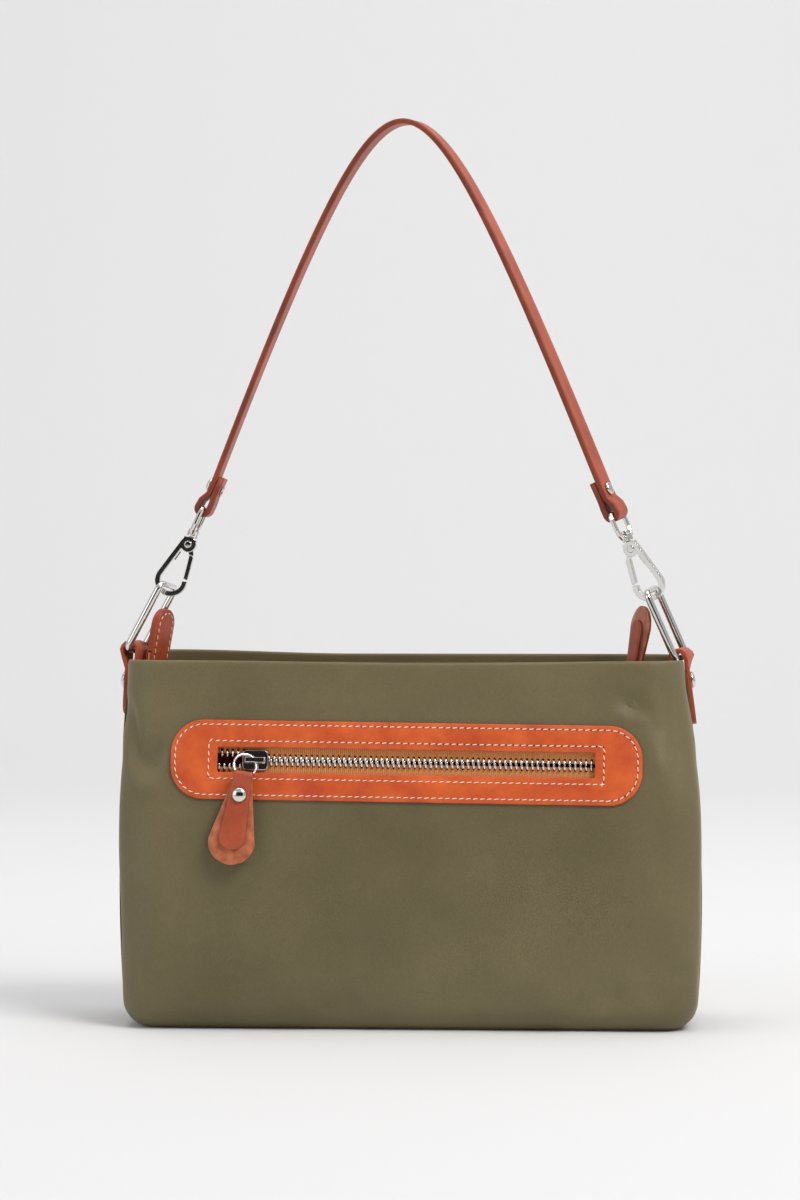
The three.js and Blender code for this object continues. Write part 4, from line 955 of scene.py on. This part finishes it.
def rivet_cap(node, axis, radius, height, body):
    """A domed cap where the CAD cap is, with its face along axis."""
    low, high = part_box(node)
    centre = (low + high) / 2
    reach = max((v.co - centre).dot(axis) for v in frame["nodes"][node].data.vertices)
    first = axis.orthogonal().normalized()
    second = axis.cross(first)
    base = centre + (reach - height) * axis
    levels = [(0.0, -0.5 * MM), (RIVET_POST, -0.5 * MM), (RIVET_POST, 0.0),
              (radius - 0.1 * MM, 0.0), (radius, 0.12 * MM), (radius, 0.45 * MM)]
    for k in range(1, 9):
        turn = math.radians(90 * k / 9)
        levels.append((radius * math.cos(turn), 0.45 * MM + (height - 0.45 * MM) * math.sin(turn)))
    levels.append((0.0, height))
    points = []
    for r, h in levels:
        for k in range(32):
            turn = 2 * math.pi * k / 32
            points.append(base + h * axis + max(r, 1e-6) * (math.cos(turn) * first + math.sin(turn) * second))
    faces = [tuple(range(31, -1, -1)), tuple(range(len(points) - 32, len(points)))]
    for j in range(len(levels) - 1):
        for k in range(32):
            n = (k + 1) % 32
            faces.append((j * 32 + k, j * 32 + n, (j + 1) * 32 + n, (j + 1) * 32 + k))
    cap = point_outwards(link_mesh(f"{node}_dome", points, faces))
    finish_piece(cap, silver, body, "silver_metal", node)


hook_axes = {}
for side in ("left", "right"):
    z_axis = Vector(joint[f"{side}_hook_swivel"]["axis"]).normalized()
    y_axis = Vector(joint[f"{side}_gate_swing"]["axis"]).normalized()
    hook_axes[side] = (Vector(joint[f"{side}_hook_swivel"]["pos_m"]), y_axis.cross(z_axis), y_axis, z_axis)
    mouth = MOUTH_LEFT if side == "left" else MOUTH_RIGHT
    sign = -1 if side == "left" else 1
    slope = (half_width(GUSSET_HEIGHT, mouth) - half_width(GUSSET_HEIGHT - 31 * MM, mouth)) / (31 * MM)
    outward = Vector((sign, 0, -slope)).normalized()
    rivet_cap(f"{side}_tab_rivet_cap", outward, 4.1 * MM, 2 * MM, "bag")
    rivet_cap(f"{side}_strap_rivet_cap", -hook_axes[side][1], 3.2 * MM, 2 * MM, "strap")
rivet_cap("front_puller_rivet_cap", zip_out, 3.45 * MM, 2 * MM, "front_puller")
rivet_cap("top_puller_rivet_cap", -Vector(joint["top_puller_swing"]["axis"]).normalized(), 3.45 * MM, 2 * MM,
          "top_puller")
for node in ("left_tab_rivet_back", "right_tab_rivet_back", "left_strap_rivet_back", "right_strap_rivet_back",
             "front_puller_rivet_back", "top_puller_rivet_back"):
    wear(node, silver)

# ---- Pullers ----
# A strip of leather folded through the pull ring and riveted. Its short end is grain leather on top,
# and its long end shows the rough suede side behind it.
PULLER_THICKNESS = 1.6 * MM
PULLER_NECK = 9 * MM
SHORT_TONGUE = (12.6 * MM, 35.6 * MM)
LONG_TONGUE = (22.4 * MM, 42.7 * MM)
FOLD_CLEAR = 0.9 * MM
FOLD_GAP = 0.15 * MM
PULLER_JOIN = 6 * MM

suede, suede_shader = new_material("suede", srgb(186, 104, 70), 0.95, specular=0.1)
suede_shader.inputs["Sheen Weight"].default_value = 0.5
tree = suede.node_tree
place = add_node(tree, "ShaderNodeTexCoord")
nap = add_node(tree, "ShaderNodeTexNoise", Vector=place.outputs["Object"],
               Scale=1800.0, Detail=6.0, Roughness=0.7)
blotch = add_node(tree, "ShaderNodeTexNoise", Vector=place.outputs["Object"], Scale=220.0, Detail=4.0)
tone = add_node(tree, "ShaderNodeValToRGB", Fac=blotch.outputs["Fac"])
tone.color_ramp.elements[0].position = 0.3
tone.color_ramp.elements[0].color = (*srgb(160, 84, 54), 1)
tone.color_ramp.elements[1].position = 0.7
tone.color_ramp.elements[1].color = (*srgb(200, 120, 84), 1)
bump = add_node(tree, "ShaderNodeBump", Height=nap.outputs["Fac"], Strength=0.7, Distance=0.0002)
tree.links.new(tone.outputs["Color"], suede_shader.inputs["Base Color"])
tree.links.new(bump.outputs["Normal"], suede_shader.inputs["Normal"])


def leather_strip(name, stations, thickness, segments=10, rounding=0.4 * MM):
    """A strip of leather through stations of centre, across, out and half width, with rounded edges."""
    points, faces = [], []
    flat = [k / segments * 2 - 1 for k in range(segments + 1)]
    half = thickness / 2
    section = []
    for sign in (1, -1):
        order = flat if sign > 0 else flat[::-1]
        section += [(s, sign) for s in order]
    count = len(section)
    for centre, across, out, half_width_here in stations:
        edge = min(rounding, half_width_here * 0.5)
        for share, sign in section:
            s = share * (half_width_here - edge)
            t = sign * half
            if abs(share) == 1:
                s = share * half_width_here
                t = sign * (half - edge)
            elif abs(share) > 1 - 2.5 / segments:
                s = share / abs(share) * (half_width_here - edge)
            points.append(centre + s * across + t * out)
    for i in range(len(stations) - 1):
        for k in range(count):
            n = (k + 1) % count
            faces.append((i * count + k, i * count + n, (i + 1) * count + n, (i + 1) * count + k))
    faces.append(tuple(range(count - 1, -1, -1)))
    last = (len(stations) - 1) * count
    faces.append(tuple(range(last, last + count)))
    return point_outwards(link_mesh(name, points, faces))


def color_faces(piece, out, top, under, edge):
    """Gives faces their material by which way they face: along out, against it, or sideways."""
    for material in (top, under, edge):
        piece.data.materials.append(material)
    for polygon in piece.data.polygons:
        facing = polygon.normal.dot(out)
        polygon.material_index = 0 if facing > 0.45 else 1 if facing < -0.45 else 2


def puller(which, fold, x_axis, y_axis, z_axis, body):
    """A puller hanging along -z_axis from its fold. Its short tongue lies on the -y_axis side."""
    for label, side, (width, length) in (("short", -1, SHORT_TONGUE), ("long", 1, LONG_TONGUE)):
        radius = FOLD_CLEAR + PULLER_THICKNESS / 2
        lies = FOLD_GAP + PULLER_THICKNESS / 2
        path = []
        for turn in range(90, 181, 15):
            path.append((radius * -math.cos(math.radians(turn)), radius * math.sin(math.radians(turn))))
        for k in range(1, 8):
            share = k / 7
            path.append((radius + (lies - radius) * smoothstep(share, 0, 1), -PULLER_JOIN * share))
        tip = length - width / 2
        for k in range(1, 15):
            path.append((lies, -PULLER_JOIN - (tip - PULLER_JOIN) * k / 14))
        for k in range(1, 13):
            path.append((lies, -tip - width / 2 * math.sin(math.radians(88.0 * k / 12))))
        stations = []
        for i, (out_y, z) in enumerate(path):
            before, after = path[max(i - 1, 0)], path[min(i + 1, len(path) - 1)]
            along = Vector((0, after[0] - before[0], after[1] - before[1])).normalized()
            out_local = Vector((0, -along.z, along.y))
            if z > -FOLD_CLEAR * 2:
                half = PULLER_NECK / 2
            elif z >= -tip:
                share = (-z - FOLD_CLEAR * 2) / (tip - FOLD_CLEAR * 2)
                half = (PULLER_NECK + (width - PULLER_NECK) * share) / 2
            else:
                half = math.sqrt(max((width / 2) ** 2 - (-z - tip) ** 2, 1e-9))
            centre = fold + side * out_y * y_axis + z * z_axis
            out = side * out_local.y * y_axis + out_local.z * z_axis
            stations.append((centre, x_axis, out, half))
        tongue = leather_strip(f"{which}_puller_{label}", stations, PULLER_THICKNESS, rounding=0.35 * MM)
        color_faces(tongue, side * y_axis, brown_leather, suede, dark_edge)
        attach(tongue, body)
        if label == "long":
            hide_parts(f"{which}_puller")


PULL_TILT = math.radians(24)
PULLER_LEAN = math.radians(9)
flip_axis = Vector(joint["front_pull_flip"]["axis"]).normalized()
hang = -math.sin(PULLER_LEAN) * zip_x - math.cos(PULLER_LEAN) * zip_up
front_fold = Vector(joint["front_puller_swing"]["pos_m"]) + PULL_RING_RADIUS * (
    Matrix.Rotation(PULL_TILT, 3, flip_axis) @ hang)
puller("front", front_fold, math.cos(PULLER_LEAN) * zip_x - math.sin(PULLER_LEAN) * zip_up, -zip_out, -hang,
       "front_puller")
top_out = Vector(joint["top_puller_swing"]["axis"]).normalized()
top_across = Vector(joint["top_pull_flip"]["axis"]).normalized()
top_up = top_across.cross(top_out)
top_fold = Vector(joint["top_puller_swing"]["pos_m"]) + PULL_RING_RADIUS * top_up
puller("top", top_fold, -top_across, top_out, -top_up, "top_puller")

# ---- Shoulder strap ----
# One 15 mm strip of leather, folded round each swivel eye and riveted. It springs up in a narrow arch,
# and its edges are dyed darker.
STRAP_WIDTH = 15 * MM
STRAP_THICKNESS = 2.6 * MM
STRAP_RISE = 188.7 * MM
STRAP_APEX_SHIFT = -1.7 * MM
STRAP_APEX_RADIUS = 13.5 * MM
EYE_BAR_HEIGHT = 45.1 * MM
EYE_BAR = 1.25 * MM
STRAP_RIVET_HEIGHT = 11.3 * MM
STRAP_TAIL = 17.4 * MM
STRAP_FLAT = 3.6 * MM
STRAP_OFFSET = 1 * MM
STRAP_GAP = 0.3 * MM
STRAP_EASE = 0.94


def fold_path():
    """The folded end in the hook's frame, across and up, from the tail's tip to the main strap."""
    layer = STRAP_THICKNESS / 2 + STRAP_GAP / 2
    turn = EYE_BAR + STRAP_GAP + STRAP_THICKNESS / 2
    z = EYE_BAR_HEIGHT
    middle = STRAP_OFFSET
    path = [(middle + layer, z + STRAP_TAIL), (middle + layer, z + STRAP_RIVET_HEIGHT),
            (middle + layer, z + STRAP_RIVET_HEIGHT - STRAP_FLAT), (turn, z + STRAP_FLAT), (turn, z)]
    for angle in range(-15, -180, -15):
        path.append((turn * math.cos(math.radians(angle)), z + turn * math.sin(math.radians(angle))))
    path += [(-turn, z), (-turn + STRAP_GAP, z + STRAP_FLAT),
             (middle - layer, z + STRAP_RIVET_HEIGHT - STRAP_FLAT),
             (middle - layer, z + STRAP_RIVET_HEIGHT + STRAP_FLAT)]
    return path


folds = []
for side in ("left", "right"):
    origin, x_axis, y_axis, z_axis = hook_axes[side]
    across = y_axis if side == "left" else -y_axis
    folds.append([(origin + x * x_axis + z * z_axis, across) for x, z in fold_path()])
left_end, right_end = folds[0][-1], folds[1][-1]
eyes = [hook_axes[side][0] + EYE_BAR_HEIGHT * hook_axes[side][3] for side in ("left", "right")]
apex = (eyes[0] + eyes[1]) / 2 + Vector((STRAP_APEX_SHIFT, 0, STRAP_RISE))
apex.y = 0
ARCH_STEPS = 60
line = list(folds[0])
for k in range(-ARCH_STEPS, ARCH_STEPS + 1):
    end = left_end[0] if k < 0 else right_end[0]
    drop = apex.z - end.z
    span = abs(end.x - apex.x)
    lean = (span**2 - 2 * STRAP_APEX_RADIUS * drop) / drop**2
    fall = drop * STRAP_EASE * (k / ARCH_STEPS) ** 2
    x = math.copysign(math.sqrt(2 * STRAP_APEX_RADIUS * fall + lean * fall**2), k)
    across = left_end[1].lerp(right_end[1], (k + ARCH_STEPS) / (2 * ARCH_STEPS)).normalized()
    line.append((Vector((apex.x + x, 0, apex.z - fall)), across))
line += folds[1][::-1]
stations = []
for i, (centre, across) in enumerate(line):
    along = (line[min(i + 1, len(line) - 1)][0] - line[max(i - 1, 0)][0]).normalized()
    across = (across - across.dot(along) * along).normalized()
    stations.append((centre, across, across.cross(along), STRAP_WIDTH / 2))
strap = leather_strip("shoulder_strap", stations, STRAP_THICKNESS, rounding=0.5 * MM)
strap.data.materials.append(brown_leather)
strap.data.materials.append(dark_edge)
for polygon in strap.data.polygons:
    if abs(polygon.normal.y) > 0.7:
        polygon.material_index = 1
finish_piece(strap, None, "strap", "leather", "strap")

# ---- Side tabs ----
# A leather strip looped over each oblong ring, riveted through the gusset, with a rounded outer end.


def softened(node, name, width):
    """The CAD solid with rounded edges and smooth shading."""
    source = frame["nodes"][node]
    piece = bpy.data.objects.new(name, source.data.copy())
    bpy.context.scene.collection.objects.link(piece)
    work = bmesh.new()
    work.from_mesh(piece.data)
    bmesh.ops.remove_doubles(work, verts=work.verts, dist=1e-6)
    bmesh.ops.dissolve_limit(work, angle_limit=math.radians(1), verts=work.verts, edges=work.edges)
    work.to_mesh(piece.data)
    work.free()
    bevel = piece.modifiers.new("edges", "BEVEL")
    bevel.width = width
    bevel.segments = 3
    bevel.limit_method = "ANGLE"
    bevel.angle_limit = math.radians(50)
    point_outwards(applied(piece))
    return finish_piece(piece, brown_leather, "bag", "leather", node)


softened("left_tab", "left_tab_leather", 0.45 * MM)
softened("right_tab", "right_tab_leather", 0.45 * MM)

# ---- End tab of the top zip ----
# A folded leather tab that caps the zip's closed end and stands up out of the mouth. Its edges are sewn.
END_TAB_AT = Vector((-125.8, 2.5, 171)) * MM
END_TAB_WIDTH = 16 * MM
END_TAB_HEIGHT = 30 * MM
END_TAB_THICKNESS = 3.8 * MM
END_TAB_TURN = math.radians(24)
END_TAB_LEAN = math.radians(10)
softened("top_end_tab", "end_tab_leather", 0.6 * MM)
turn = Matrix.Rotation(END_TAB_LEAN, 3, "Y") @ Matrix.Rotation(-END_TAB_TURN, 3, "Z")
tab_out, tab_across, tab_up = turn.col[0], turn.col[1], turn.col[2]
for sign, label in ((1, "near"), (-1, "far")):
    inset = END_TAB_WIDTH / 2 - 2 * MM
    outline = [(-inset, 2.5 * MM)]
    for k in range(13):
        angle = math.radians(180 - 180 * k / 12)
        outline.append((inset * math.cos(angle),
                        END_TAB_HEIGHT - END_TAB_WIDTH / 2 + inset * math.sin(angle)))
    outline += [(inset, 2.5 * MM), (-inset, 2.5 * MM)]
    face = END_TAB_AT + sign * END_TAB_THICKNESS / 2 * tab_out
    row = [face + a * tab_across + b * tab_up for a, b in outline]
    sew(f"end_tab_stitches_{label}", [row], sign * tab_out, "bag", lift=0.05 * MM)
